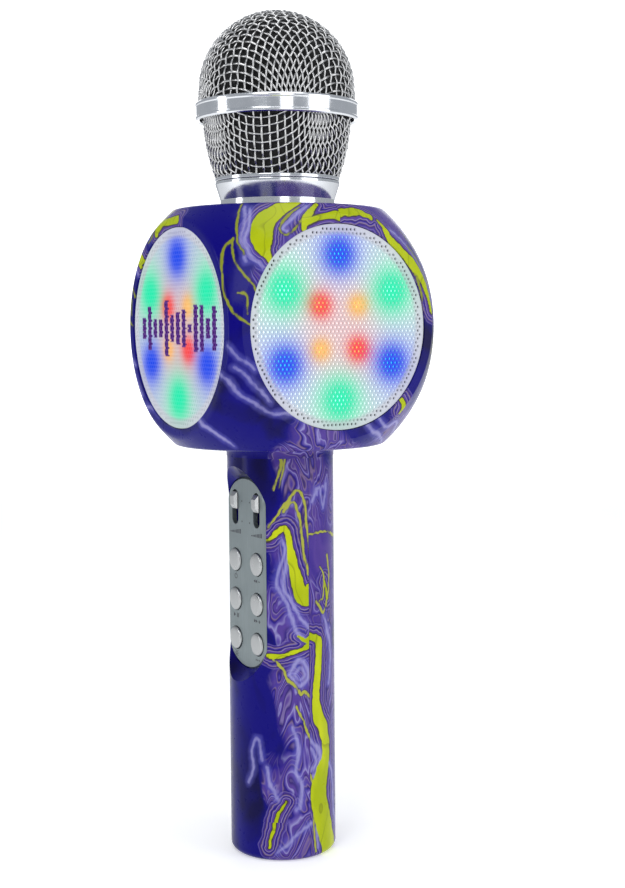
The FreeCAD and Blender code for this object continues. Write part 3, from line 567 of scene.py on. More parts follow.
HANDLE_REAR = {"lime": [
    [(89, 72.9, 1.0), (102, 71, 1.3), (102, 63, 1.3), (98.6, 54, 1.4), (100.5, 47.3, 1.9), (109.7, 41.8, 2.3),
     (113.4, 34, 2.2), (107, 27, 3.2), (102, 20.7, 3.8), (109, 11.8, 3.6), (122.6, 0, 4.3)],
    [(113, 90, .4), (119, 84, .6)],
    [(150, 60, .6), (160, 66, 1.6), (172, 62, 1.8), (180, 50, 1.1), (178, 38, .6)],
], "thin": [
    [(89, 105.7, .3), (111.6, 106, .3), (130, 104.5, .3), (148.5, 103.4, .3)],
    [(100, 84, .25), (108, 80, .3), (116, 82, .3), (122, 90, .3), (118, 98, .25)],
    [(105, 95, .25), (112, 91, .3), (110, 85, .25), (104, 84, .2)],
    [(89, 28, .3), (95, 22, .3), (94, 12, .3), (98, 2, .3)],
], "pale": [
    [(89, 39.5, .4), (100.5, 36, .55), (103.5, 32, .55), (98.6, 28.4, .5), (89, 26, .4)],
    [(89, 36.5, .25), (96, 34.5, .35), (98.5, 32, .35), (96, 30, .35), (89, 29, .25)],
    [(110, 80, .3), (118, 74, .4), (124, 66, .4), (120, 56, .3)],
    [(95, 116, .25), (104, 120, .3), (112, 114, .3), (118, 121, .25)],
    [(120, 30, .3), (128, 24, .4), (132, 14, .3), (140, 8, .3)],
]}
# knots are (longitude, latitude, half width) on the housing, as seen from its centre
HOUSING_FRONT = {"lime": [
    [(70, 48, .8), (64, 46, 1.8), (59, 43.5, 2.8), (54, 39, 3.3), (52.5, 33, 3.4), (54, 28, 2.4),
     (56.5, 24, .8)],
    [(79, 47, .5), (75, 43, 1.0), (72, 40, 1.2), (71, 37, 1.0)],
    [(71, 38, .9), (78, 41, 1.0), (86, 42, 1.2), (92, 42, 1.5)],
    [(-36, 30, .8), (-33, 27, 1.2), (-28, 24, .6)],
], "thin": [
    [(41.5, 32, .3), (38.5, 27, .4), (39, 20, .4), (40, 13, .4), (43, 7, .4), (47, 3, .3), (50, 1, .2)],
    [(41.5, 31, .2), (43, 24, .25), (47, 19, .25), (51, 14, .25), (52, 8, .2)],
    [(45.5, 11.5, .25), (49, 11, .25), (49, 5, .25)],
    [(70, 45.5, .25), (66, 43, .3), (62, 39, .3), (60.5, 35, .25), (63, 33, .25), (68, 37, .25), (73, 42, .2)],
    [(41, 47, .2), (41.5, 40, .3), (43, 34, .3), (44, 30, .3), (47, 25.5, .2)],
], "pale": [
    [(38, -16, .15), (41, -17, .25), (44, -22, .25), (50, -26, .25), (56, -30, .25), (64, -31.5, .25),
     (70, -35, .2)],
    [(42, -6, .15), (45, -9, .2), (49, -12, .2), (51, -14, .15)],
    [(44, -13, .15), (49, -17, .25), (53, -22, .25), (56, -26, .15)],
    [(20, -34, .2), (23, -35, .5), (29, -38, .5), (33, -42, .4), (36, -45, .2)],
    [(74, 46, .25), (67, 41, .35), (62, 36, .35), (64, 34, .3)],
    [(46, 45, .25), (47, 38, .35), (46.5, 31, .35), (50, 24, .3), (54, 21, .2)],
    [(43, 46, .2), (45, 38, .25), (45, 31, .25), (48, 23, .2)],
]}
HOUSING_REAR = {"lime": [
    [(112, 40, .5), (117, 32, 1.3), (124, 25, 1.5), (130, 16, 1.2), (133, 5, .6)],
    [(116, 24, .4), (121, 18, .8), (125, 9, .8), (126, 0, .4)],
    [(120, -26, .5), (122, -29, .9), (121, -32, .4)],
    [(89, 43, 1.4), (100, 44, 1.7), (108, 42, 1.2)],
], "thin": [
    [(112, 34, .3), (120, 27, .35), (127, 19, .35), (129, 8, .3), (126, -4, .2)],
    [(126, 30, .3), (132, 22, .35), (137, 12, .35), (138, 0, .3), (134, -10, .2)],
    [(130, 36, .2), (137, 28, .3), (141, 18, .3), (143, 6, .2)],
], "pale": [
    [(114, 29, .3), (119, 23, .35), (123, 15, .35), (124, 5, .2)],
    [(118, 36, .3), (126, 29, .35), (133, 18, .35), (134, 8, .25)],
    [(108, -34, .2), (116, -38, .45), (124, -36, .4), (131, -41, .3)],
    [(100, -36, .2), (109, -40, .4), (118, -43, .4), (126, -46, .2)],
]}


def handle_shapes():
    end = 0.01
    outside = tube_shape(HANDLE_R, CAP_TOP - end, NECK_Z + end)
    return [outside, tube_shape(HANDLE_R - HANDLE_WALL, CAP_TOP - end, NECK_Z + end)]


def cap_shapes():
    low_edge = round_shape(HANDLE_R - CAP_ROUND, CAP_ROUND, CAP_ROUND, 2, lambda a, h: (a > -0.05) & (h < 0.05))
    return [tube_shape(HANDLE_R, CAP_ROUND - 0.01, CAP_TOP + 0.01), low_edge]


def housing_shapes():
    """A ball, the neck with its flare, and the rounds where the six flat faces cut the ball."""
    neck_r = HANDLE_R + NECK_STEP
    shapes = [ball_shape(SPHERE_R, HOUSING_MIDDLE),
              tube_shape(neck_r, NECK_Z - 0.01, HOUSING_BOTTOM - NECK_FLARE + 0.01),
              round_shape(neck_r + NECK_FLARE, NECK_FLARE, HOUSING_BOTTOM - NECK_FLARE, 2,
                          lambda a, h: (a < 0.05) & (h > -0.05))]
    minor = HOUSING_ROUND
    for axis, half in ((0, HOUSING_HALF), (1, HOUSING_HALF), (2, HALF_HEIGHT)):
        deep = half - minor
        reach = math.sqrt((SPHERE_R - minor) ** 2 - deep ** 2)
        shapes.append(round_shape(reach, minor, deep, axis,
                                  lambda a, h: (a > -0.05) & (h > -0.05), HOUSING_MIDDLE))
        shapes.append(round_shape(reach, minor, -deep, axis,
                                  lambda a, h: (a > -0.05) & (h < 0.05), HOUSING_MIDDLE))
    return shapes


def on_tube(p, slack=0.05):
    return (np.hypot(p[:, 0], p[:, 1]) > HANDLE_R - slack) & (p[:, 2] > 0.3)


def on_shell(p, slack=0.05):
    local = np.abs(p - np.array(HOUSING_MIDDLE))
    ball = np.linalg.norm(local, axis=1) > SPHERE_R - HOUSING_ROUND * 0.75
    side = np.maximum(local[:, 0], local[:, 1]) > HOUSING_HALF - slack
    neck = (p[:, 2] < HOUSING_BOTTOM + 0.01) & (np.hypot(p[:, 0], p[:, 1]) > HANDLE_R + NECK_STEP - slack)
    return (local[:, 2] > HALF_HEIGHT - slack) | ball | side | neck


# node: its strokes, the turn and flip of their second copy, and the ripple's seed
COATS = {
    "handle_front_shell": (HANDLE_FRONT, 148, 134, 3),
    "handle_rear_shell": (HANDLE_REAR, 82, 138, 4),
    "end_cap": ({kind: HANDLE_REAR[kind] + HANDLE_FRONT[kind] for kind in HANDLE_REAR}, 150, 16, 4),
    "housing_front_shell": (HOUSING_FRONT, -90, None, 5),
    "housing_rear_shell": (HOUSING_REAR, 92, None, 6),
}


def painted_pieces():
    """The five marbled plastic pieces, with their paint fields."""
    size = 0.72
    for node, (strokes, turn, flip, seed) in COATS.items():
        if "housing" in node:
            kind, step, shown, chart, tone = "housing", size, on_shell, on_housing, housing_tone
            shapes = housing_shapes()
        else:
            kind, step, shown, chart, tone = "handle", size * 0.72, on_tube, on_handle, handle_tone
            shapes = cap_shapes() if node == "end_cap" else handle_shapes()
        piece = smooth_copy(node, step, shown, shapes)
        points = np.array([v.co for v in piece.data.vertices]) / MM
        paint(piece, points, strokes, chart, turn, flip, seed)
        store(piece, "tone", tone(points))
        stand_for(piece, node, marble(kind))


# ---------------------------------------------------------------- perforated grille discs
HOLE_PITCH = 1.42
HOLE_R = 0.47
RIM_SIDES = 240
FACE_TURN = {"right": 0.0, "rear": 90.0, "left": 180.0, "front": -90.0}


def to_face(points, side):
    """Points (across, up, out) on a housing face in the object's frame."""
    turn = math.radians(FACE_TURN[side])
    out = np.array([math.cos(turn), math.sin(turn), 0])
    across = np.array([-math.sin(turn), math.cos(turn), 0])
    points = np.asarray(points, float)
    return (points[:, :1] * across + points[:, 1:2] * np.array([0, 0, 1.0]) + points[:, 2:] * out
            + np.array([0, 0, HOUSING_Z]))


def hexagon_holes(field):
    """Middles of the holes whose hexagon of sheet lies wholly in the round field."""
    rise, corner = HOLE_PITCH * math.sqrt(3) / 2, HOLE_PITCH / math.sqrt(3)
    rows = int(field / rise) + 1
    for row in range(-rows, rows + 1):
        for column in range(-rows - 2, rows + 3):
            middle = np.array([(column + 0.5 * (row % 2)) * HOLE_PITCH, row * rise])
            if math.hypot(*middle) + corner <= field:
                yield middle


def perforated_sheet():
    """Points (across, up, out) and faces of a disc full of real holes inside a plain rim."""
    corner = HOLE_PITCH / math.sqrt(3)
    turns = np.radians(30 + 60 * np.arange(7))
    hexagon = corner * np.stack([np.cos(turns), np.sin(turns)], 1)
    cell = np.array([p for k in range(6) for p in (hexagon[k], (hexagon[k] + hexagon[k + 1]) / 2)])
    turns = np.radians(30 + 30 * np.arange(12))
    hole = np.stack([HOLE_R * np.cos(turns), HOLE_R * np.sin(turns)], 1)
    points, faces, edges = [], [], {}
    for middle in hexagon_holes(GRILLE_R - 0.15):
        total = len(points)
        for depth in (GRILLE_FACE, GRILLE_BACK):
            points += [(*p, depth) for p in (*(cell + middle), *(hole + middle))]
        for k in range(12):
            n = (k + 1) % 12
            faces.append((total + k, total + n, total + 12 + n, total + 12 + k))
            faces.append((total + 24 + k, total + 36 + k, total + 36 + n, total + 24 + n))
            faces.append((total + 12 + k, total + 12 + n, total + 36 + n, total + 36 + k))
            a, b = (tuple(np.round(cell[i] + middle, 3)) for i in (k, n))
            if (b, a) in edges:
                del edges[(b, a)]
            else:
                edges[(a, b)] = True
    follow = {a: b for a, b in edges}
    loop = [next(iter(follow))]
    while follow[loop[-1]] != loop[0]:
        loop.append(follow[loop[-1]])
    loop.reverse()
    outer = [(GRILLE_R * math.cos(t), GRILLE_R * math.sin(t))
             for t in np.arange(RIM_SIDES) * 2 * math.pi / RIM_SIDES]
    total, count = len(points), len(outer) + len(loop)
    for depth in (GRILLE_FACE, GRILLE_BACK):
        points += [(*p, depth) for p in outer + loop]
    for triangle in tessellate_polygon([[Vector((*p, 0)) for p in ring] for ring in (outer, loop)]):
        faces.append(tuple(total + i for i in triangle))
        faces.append(tuple(total + count + i for i in reversed(triangle)))
    for k in range(RIM_SIDES):
        n = (k + 1) % RIM_SIDES
        faces.append((total + k, total + n, total + count + n, total + count + k))
    return np.array(points, float), faces


def perforated_discs():
    points, faces = perforated_sheet()
    for side in FACE_TURN:
        piece = new_piece("perforated_disc_" + side, to_face(points, side), faces, 40)
        stand_for(piece, "speaker_grille_" + side, grille_paint(side))


# ---------------------------------------------------------------- woven wire
WIRE_R = 0.34
WIRE_PITCH = 2.5
WIRE_LIFT = 0.31    # how far a wire moves in and out at its crossings
PAST_END = 2.0      # the net is worked out this far past the end of its surface


def profile_reader(knots):
    """Radius and height against the distance run along a smooth curve through (r, z) knots."""
    line = curve_through(knots, 0.25)
    run = np.concatenate([[0], np.cumsum(np.linalg.norm(np.diff(line, axis=0), axis=1))])

    def at(s):
        return np.interp(s, run, line[:, 0]), np.interp(s, run, line[:, 1])
    return at, run[-1]


def step_from(place, a, b, s, angle):
    """The (run, angle) that is one wire pitch from both points a and b, by Newton's method."""
    for _ in range(25):
        here = place(s, angle)
        miss = np.array([np.linalg.norm(here - a) - WIRE_PITCH, np.linalg.norm(here - b) - WIRE_PITCH])
        if np.abs(miss).max() < 1e-4:
            return float(s), float(angle)
        ds = (place(s + 1e-3, angle) - here) / 1e-3
        da = (place(s, angle + 1e-4) - here) / 1e-4
        slope = np.array([[(here - q) @ ds, (here - q) @ da] for q in (a, b)])
        slope /= np.array([[np.linalg.norm(here - a)], [np.linalg.norm(here - b)]])
        try:
            change = np.linalg.solve(slope, miss)
        except np.linalg.LinAlgError:
            return float(s), float(angle)
        limit = np.array([1.2, 1.2 / max(np.hypot(here[0], here[1]), 1.0)])
        s, angle = np.array([s, angle]) - np.clip(change, -limit, limit)
    return None


def net_on(profile, end, turn):
    """Nodes of a woven net pulled over a turned surface: every side of every cell keeps its length."""
    steps = int(end / WIRE_PITCH) + 9

    def place(s, angle):
        r, z = profile(min(s, end + 2.2))
        return np.array([r * math.cos(angle), r * math.sin(angle), z])

    grid = {}
    for quarter in range(4):
        base = turn + quarter * math.pi / 2
        local = {(0, 0): (0.0, base + math.pi / 4)}
        for i in range(1, steps):
            local[(i, 0)] = (i * WIRE_PITCH, base)
            local[(0, i)] = (i * WIRE_PITCH, base + math.pi / 2)
        for i in range(1, steps):
            for j in range(1, steps):
                before = ((i - 1, j), (i, j - 1), (i - 1, j - 1))
                if not all(key in local for key in before):
                    continue
                furthest = max(local[key][0] for key in before[:2])
                if furthest > end + PAST_END:
                    continue
                a, b, c = (place(*local[key]) for key in before)
                angle = math.atan2((a + b - c)[1], (a + b - c)[0])
                found = step_from(place, a, b, furthest + WIRE_PITCH * 0.5, angle)
                if found and found[0] < end + PAST_END:
                    local[(i, j)] = found
        for (i, j), (s, angle) in local.items():
            x, y = [(i, j), (-j, i), (-i, -j), (j, -i)][quarter]
            if s < end + 2.4:
                grid[(x, y)] = (s, angle)
    return grid


def wire_tubes(name, profile, end, turn, outside):
    """Both families of wires as round tubes that pass over and under each other."""
    grid = net_on(profile, end, turn)

    def place(key):
        s, angle = grid[key]
        s = min(s, end)
        r, z = profile(s)
        r2, z2 = profile(min(s + 0.05, end + PAST_END))
        r1, z1 = profile(max(s - 0.05, 0))
        slope = np.array([r2 - r1, z2 - z1])
        slope /= max(np.linalg.norm(slope), 1e-9)
        normal = np.array([slope[1] * math.cos(angle), slope[1] * math.sin(angle), -slope[0]]) * outside
        lift = WIRE_LIFT * (1 if (key[0] + key[1]) % 2 else -1)
        return np.array([r * math.cos(angle), r * math.sin(angle), z]), normal, lift

    reach = max(max(abs(i), abs(j)) for i, j in grid)
    sides = 8
    turns = np.arange(sides) * 2 * math.pi / sides
    points, faces = [], []
    for family in (0, 1):
        for fixed in range(-reach, reach + 1):
            run = []
            for moving in range(-reach - 1, reach + 2):
                key = (moving, fixed) if family == 0 else (fixed, moving)
                if key in grid:
                    run.append(key)
                    continue
                if len(run) > 1:
                    add_wire(points, faces, [place(k) for k in run], -1 if family else 1, turns)
                run = []
    return new_piece(name, np.array(points), faces, 80)


def add_wire(points, faces, stops, side, turns):
    """One wire through its crossings, smooth between them."""
    centres = np.array([p + n * (lift * side - WIRE_LIFT) for p, n, lift in stops])
    normals = np.array([n for _, n, _ in stops])
    line, up = [], []
    for i, stretch in enumerate(stretches(centres)):
        for t in np.arange(4) / 4:
            line.append(spline(*stretch, t))
            up.append(normals[i] * (1 - t) + normals[i + 1] * t)
    line.append(centres[-1])
    up.append(normals[-1])
    line, up = np.array(line), np.array(up)
    ahead = np.gradient(line, axis=0)
    ahead /= np.maximum(np.linalg.norm(ahead, axis=1), 1e-9)[:, None]
    across = np.cross(ahead, up)
    across /= np.maximum(np.linalg.norm(across, axis=1), 1e-9)[:, None]
    over = np.cross(across, ahead)
    first, sides = len(points), len(turns)
    for c, a, o in zip(line, across, over):
        points.extend(c + WIRE_R * (a * math.cos(t) + o * math.sin(t)) for t in turns)
    faces.extend(tuple(first + i for i in face) for face in grid_faces(len(line), sides, True))
    last = first + (len(line) - 1) * sides
    faces.append(tuple(first + m for m in range(sides)))
    faces.append(tuple(last + m for m in reversed(range(sides))))


# ---------------------------------------------------------------- materials
def srgb(r, g, b):
    return tuple(((c / 255 + 0.055) / 1.055) ** 2.4 if c > 10 else c / 3294.6 for c in (r, g, b))


NAVY, DEEP, INDIGO = srgb(6, 0, 108), srgb(4, 0, 60), srgb(18, 6, 120)
PURPLE, LAVENDER, LIME, OLIVE = srgb(78, 56, 136), srgb(158, 154, 200), srgb(156, 170, 6), srgb(128, 134, 40)
MADE = {}


def ramp_of(*stops):
    """Colour stops from (position, red, green, blue) or (position, colour)."""
    return [(stop[0], stop[1] if len(stop) == 2 else srgb(*stop[1:])) for stop in stops]


def marble(kind):
    """Poured paint: drawn veins over a ground of nested bands, under a clear coat."""
    if kind in MADE:
        return MADE[kind]
    on_grip = kind == "handle"
    s = Shader("marbled_paint_" + kind)
    stretch = s.put("ShaderNodeMapping", {"Vector": s.place, "Scale": (1.0, 1.0, 0.45 if on_grip else 0.8)})
    swirl = s.noise(38, 2, 0.5, stretch, 1)
    bent = s.vector("ADD", stretch, s.scaled(swirl, 0.016))
    broad = s.noise(72, 2.5, 0.5, bent, distortion=0.6)
    fine = s.noise(520, 2, 0.6)
    ground = s.math("ADD", s.math("MULTIPLY", s.field("tone"), 0.42), s.math("MULTIPLY", broad, 0.62))
    colour = s.ramp(ground, ramp_of((0.22, DEEP), (0.34, NAVY), (0.50, NAVY), (0.58, INDIGO), (0.70, PURPLE),
                                    (0.80, 66, 48, 128), (0.92, 110, 96, 172)))
    bands = s.math("FRACT", s.math("MULTIPLY", broad, 9.0))
    lines = s.ramp(bands, ramp_of((0.0, PURPLE), (0.09, 40, 28, 96), (0.16, 124, 108, 156), (0.23, 84, 62, 132),
                                  (0.40, 64, 48, 140), (0.50, 120, 98, 132), (0.56, 58, 42, 88), (0.64, INDIGO),
                                  (0.78, 98, 82, 158), (0.86, 146, 140, 190), (0.92, PURPLE)))
    patch = s.math("MULTIPLY", s.span(s.field("tone"), 0.25, 0.6), s.span(s.noise(46, 1, 0.5), 0.36, 0.48))
    colour = s.mix(s.math("MULTIPLY", patch, 0.85), colour, lines)
    wobble = s.math("MULTIPLY", s.math("SUBTRACT", fine, 0.5), 0.35)
    lime = s.math("ADD", s.field("lime"), wobble)
    nested = s.ramp(s.span(lime, 0.0, 4.2), ramp_of(
        (0.0, 50, 44, 34), (0.07, 60, 48, 70), (0.11, PURPLE), (0.21, PURPLE), (0.25, 136, 124, 170),
        (0.29, 66, 48, 100), (0.37, INDIGO), (0.45, 96, 80, 142), (0.50, 130, 112, 140), (0.54, 60, 44, 96),
        (0.66, 52, 36, 132), (0.74, 118, 104, 164), (0.80, NAVY)))
    colour = s.mix(s.span(lime, 4.2, 2.2), colour, nested)
    pale = s.math("ADD", s.field("pale"), wobble)
    colour = s.mix(s.span(pale, 1.8, 0.2, 0.0, 0.42), colour, srgb(98, 96, 184))
    colour = s.mix(s.span(pale, 0.50, -0.20, 0.0, 0.62), colour, LAVENDER)
    thin = s.math("ADD", s.field("thin"), wobble)
    colour = s.mix(s.span(thin, 0.55, 0.15, 0.0, 0.75), colour, srgb(52, 42, 66))
    colour = s.mix(s.span(thin, 0.24, 0.02), colour, srgb(158, 160, 62) if on_grip else OLIVE)
    bright = srgb(192, 200, 26) if on_grip else srgb(172, 182, 14)
    body = s.mix(s.span(s.noise(95, 2, 0.5, bent), 0.40, 0.70), LIME, bright)
    hairs = s.math("FRACT", s.math("MULTIPLY", s.noise(60, 1, 0.5, bent), 8.0))
    body = s.mix(s.span(hairs, 0.86, 0.97, 0.0, 0.5), body, srgb(104, 112, 10))
    colour = s.mix(s.span(lime, 0.10, -0.10), colour, body)
    peel = s.bump(s.noise(260, 1, 0.5), 0.000006)
    rough = s.span(fine, 0.3, 0.7, 0.26, 0.36)
    MADE[kind] = s.finish(colour, {
        "Roughness": rough, "Coat Weight": 0.38, "Coat Roughness": 0.13, "Coat IOR": 1.25, "Coat Normal": peel,
        "Specular IOR Level": 0.05})
    return MADE[kind]


def surface(name, colour, rough, metallic=0.0, grain=1400.0, depth=0.00001, spread=0.12, coat=0.0):
    """An even finish with fine grain: a shade variation, a roughness variation and a bump."""
    s = Shader(name)
    broad, fine = s.noise(grain * 0.12, 3, 0.55), s.noise(grain, 3, 0.6)
    dark = tuple(c * (1 - spread) for c in colour)
    light = tuple(min(1.0, c * (1 + spread)) for c in colour)
    shade = s.mix(s.span(broad, 0.35, 0.65), dark, light)
    return s.finish(shade, {"Roughness": s.span(fine, 0.3, 0.7, rough * 0.8, rough * 1.25),
                            "Metallic": metallic, "Coat Weight": coat, "Normal": s.bump(fine, depth)})


# colour of a light's spot, of the haze round it and of its core
BLUE = (srgb(4, 70, 236), srgb(176, 182, 250), srgb(60, 205, 255))
GREEN = (srgb(6, 236, 176), srgb(190, 243, 214), srgb(180, 255, 240))
RED = (srgb(250, 70, 70), srgb(255, 140, 146), srgb(255, 220, 120))
AMBER = (srgb(252, 190, 110), srgb(255, 178, 160), srgb(255, 232, 130))
# lights on a face: place across and up, size of the spot, colours
LIGHTS = [(0.0, 22.05, 7.8, BLUE), (19.1, 11.0, 8.6, GREEN), (19.1, -11.0, 7.8, BLUE),
          (0.0, -22.05, 8.6, GREEN), (-19.1, -11.0, 7.8, BLUE), (-19.1, 11.0, 8.6, GREEN),
          (-6.66, 6.66, 4.9, RED), (6.66, 6.66, 4.2, AMBER),
          (-6.66, -6.66, 4.2, AMBER), (6.66, -6.66, 4.9, RED)]


def from_point(s, side, x, z, depth):
    """Distance from a point of a face, in metres."""
    point = to_face(np.array([[x, z, depth]]), side)[0] * MM
    return s.vector("DISTANCE", s.place, tuple(float(v) for v in point), 1)


def glow_colour(s, side):
    """Colour of the lit sheet, how strong its spots are, and the colour that shows in the holes."""
    sums = {}

    def add(name, part, adder):
        sums[name] = adder("ADD", sums[name], part) if name in sums else part

    for x, z, size, (spot, mist, heart) in LIGHTS:
        reach = s.math("DIVIDE", from_point(s, side, x, z, GRILLE_FACE), size * MM)
        square = s.math("MULTIPLY", reach, reach)
        share = s.math("EXPONENT", s.math("MULTIPLY", s.math("POWER", reach, 2.8), -1.0))
        wide = s.math("EXPONENT", s.math("MULTIPLY", square, -0.36))
        hot = s.math("EXPONENT", s.math("MULTIPLY", square, -5.0))
        add("spots", s.scaled(spot, share), s.vector)
        add("haze", s.scaled(mist, wide), s.vector)
        add("cores", s.scaled(heart, s.math("MAXIMUM", hot, s.math("MULTIPLY", share, 0.45))), s.vector)
        add("weight", share, s.math)
        add("haze weight", wide, s.math)
    haze = s.scaled(sums["haze"], s.math("DIVIDE", 1.0, s.math("MAXIMUM", sums["haze weight"], 0.05)))
    ground = s.mix(s.span(sums["haze weight"], 0.0, 0.75), srgb(214, 216, 224), haze)
    weight = s.math("MINIMUM", sums["weight"], 1.0)
    rest = s.math("SUBTRACT", 1.0, weight)
    colour = s.vector("ADD", sums["spots"], s.scaled(ground, rest))
    through = s.vector("ADD", sums["cores"], s.scaled(s.mix(0.55, ground, (1.0, 1.0, 1.0)), rest))
    return colour, weight, through


BAR_PITCH = 0.0040
BARS_REACH = 0.0260


def bar_mask(s, side):
    """Bars of uneven height across the face, as on a sound level display. In metres."""
    turn = math.radians(FACE_TURN[side])
    across = s.vector("DOT_PRODUCT", s.place, (-math.sin(turn), math.cos(turn), 0.0), 1)
    parts = s.put("ShaderNodeSeparateXYZ", {0: s.place}, 2)
    up = s.math("SUBTRACT", parts, HOUSING_Z * MM)
    step = s.math("DIVIDE", across, BAR_PITCH)
    number = s.math("ROUND", step)
    inside = s.math("ABSOLUTE", s.math("SUBTRACT", step, number))
    tall = s.math("MULTIPLY_ADD", s.math("SINE", s.math("MULTIPLY", number, 2.3)), 0.0028, 0.0050)
    tall = s.math("ADD", tall, s.math("MULTIPLY", s.math("SINE", s.math("MULTIPLY", number, 5.1)), 0.0014))
    level = s.math("ABSOLUTE", up)
    blur = 0.0002
    mask = s.math("MULTIPLY", s.span(inside, 0.34, 0.30), s.span(s.math("SUBTRACT", level, tall), blur, -blur))
    return s.math("MULTIPLY", mask, s.span(s.math("ABSOLUTE", across), BARS_REACH + blur, BARS_REACH - blur))


def grille_paint(side):
    s = Shader("lit_grille_" + side)
    glow, weight, _ = glow_colour(s, side)
    speckle = s.noise(1800, 2, 0.5)
    white = s.mix(s.span(speckle, 0.3, 0.7), srgb(150, 151, 155), srgb(166, 167, 171))
    colour = s.mix(s.span(weight, 0.05, 0.9, 0.35, 0.95), white, s.scaled(glow, 0.24))
    light = s.scaled(glow, s.span(weight, 0.0, 1.0, 0.44, 0.72))
    away = from_point(s, side, 0, 0, GRILLE_FACE)
    rim = s.span(away, (GRILLE_R - 3.4) * MM, (GRILLE_R - 2.2) * MM, 0.0, 0.85)
    light = s.mix(rim, light, srgb(152, 152, 160))
    if side == "front":
        mask = bar_mask(s, side)
        colour = s.mix(mask, colour, srgb(70, 24, 110))
        light = s.mix(mask, light, srgb(40, 10, 66))
    return s.finish(colour, {
        "Roughness": s.span(speckle, 0.3, 0.7, 0.5, 0.62), "Emission Color": light, "Emission Strength": 1.0,
        "Specular IOR Level": 0.25, "Normal": s.bump(speckle, 0.00001)})


def film(side):
    """Lit film behind a grille. It is dark at the rim, where no light reaches."""
    s = Shader("lit_film_" + side)
    _, weight, through = glow_colour(s, side)
    grain = s.noise(900, 2, 0.5)
    away = from_point(s, side, 0, 0, GRILLE_BACK)
    rim = s.span(away, (GRILLE_R - 1.8) * MM, (GRILLE_R - 3.2) * MM, 0.02, 1.0)
    light = s.scaled(through, s.math("MULTIPLY", rim, s.span(grain, 0.2, 0.8, 0.95, 1.15)))
    if side == "front":
        light = s.mix(bar_mask(s, side), light, srgb(46, 12, 74))
    return s.finish(s.scaled(through, s.math("MULTIPLY", rim, 0.5)), {
        "Roughness": 0.6, "Emission Color": light, "Emission Strength": 1.15, "Normal": s.bump(grain, 0.00002)})


def chrome(name, rough, tint=(0.78, 0.80, 0.83), depth=0.0000015):
    s = Shader(name)
    haze, fine = s.noise(160, 3, 0.6), s.noise(2600, 2, 0.6)
    shade = s.mix(s.span(haze, 0.3, 0.7), tuple(c * 0.95 for c in tint), tint)
    return s.finish(shade, {"Metallic": 1.0, "Roughness": s.span(haze, 0.3, 0.7, rough * 0.7, rough * 1.4),
                            "Normal": s.bump(fine, depth)})


def brushed(name, colour, rough):
    """Metal-look paint with faint lines along the handle."""
    s = Shader(name)
    drawn = s.put("ShaderNodeMapping", {"Vector": s.place, "Scale": (1.0, 1.0, 0.03)})
    lines, haze = s.noise(3800, 3, 0.7, drawn), s.noise(90, 3, 0.5)
    dark, light = tuple(c * 0.9 for c in colour), tuple(min(1, c * 1.1) for c in colour)
    shade = s.mix(s.span(lines, 0.3, 0.7), dark, light)
    shade = s.mix(s.span(haze, 0.3, 0.7, 0.0, 0.35), shade, tuple(c * 0.82 for c in colour))
    return s.finish(shade, {"Metallic": 0.75, "Roughness": s.span(haze, 0.3, 0.7, rough * 0.85, rough * 1.2),
                            "Normal": s.bump(lines, 0.000004)})


# material slots with an even finish: colour, roughness and what differs from the usual grain
EVEN = {
    "white_board": ((0.80, 0.81, 0.80), 0.4, {"grain": 1500}),
    "led_lens": ((0.85, 0.85, 0.80), 0.2, {"grain": 1800}),
    "black_foam": ((0.012, 0.012, 0.013), 0.95, {"grain": 1500, "depth": 0.0002, "spread": 0.5}),
    "black_rubber": ((0.02, 0.02, 0.02), 0.7, {"grain": 900}),
    "capsule_metal": ((0.55, 0.55, 0.55), 0.3, {"metallic": 1.0}),
    "screw_steel": ((0.42, 0.42, 0.43), 0.28, {"metallic": 1.0}),
    "socket_steel": ((0.55, 0.55, 0.56), 0.25, {"metallic": 1.0}),
    "black_plastic": ((0.02, 0.02, 0.02), 0.45, {"grain": 1600, "depth": 0.00002}),
    "green_board": ((0.01, 0.12, 0.04), 0.35, {"grain": 700, "coat": 0.4}),
    "battery_wrap": ((0.03, 0.10, 0.40), 0.25, {"grain": 300, "coat": 0.5}),
    "speaker_steel": ((0.04, 0.04, 0.04), 0.4, {"grain": 1200}),
    "speaker_paper": ((0.03, 0.03, 0.03), 0.85, {"grain": 1100, "depth": 0.00006}),
    "magnet_black": ((0.035, 0.035, 0.04), 0.5, {"grain": 1500}),
}


def slot_materials():
    """One procedural finish for each of the record's material slots."""
    made = {
        "panel_silver": brushed("panel_silver", srgb(124, 134, 136), 0.36),
        "button_silver": chrome("button_silver", 0.30, (0.42, 0.43, 0.43), 0.000002),
        "chrome_plate": chrome("chrome_plate", 0.12),
        "wire_chrome": chrome("wire_chrome", 0.22, (0.50, 0.50, 0.50)),
    }
    for name, (colour, rough, more) in EVEN.items():
        made[name] = surface(name, colour, rough, **more)
    return made


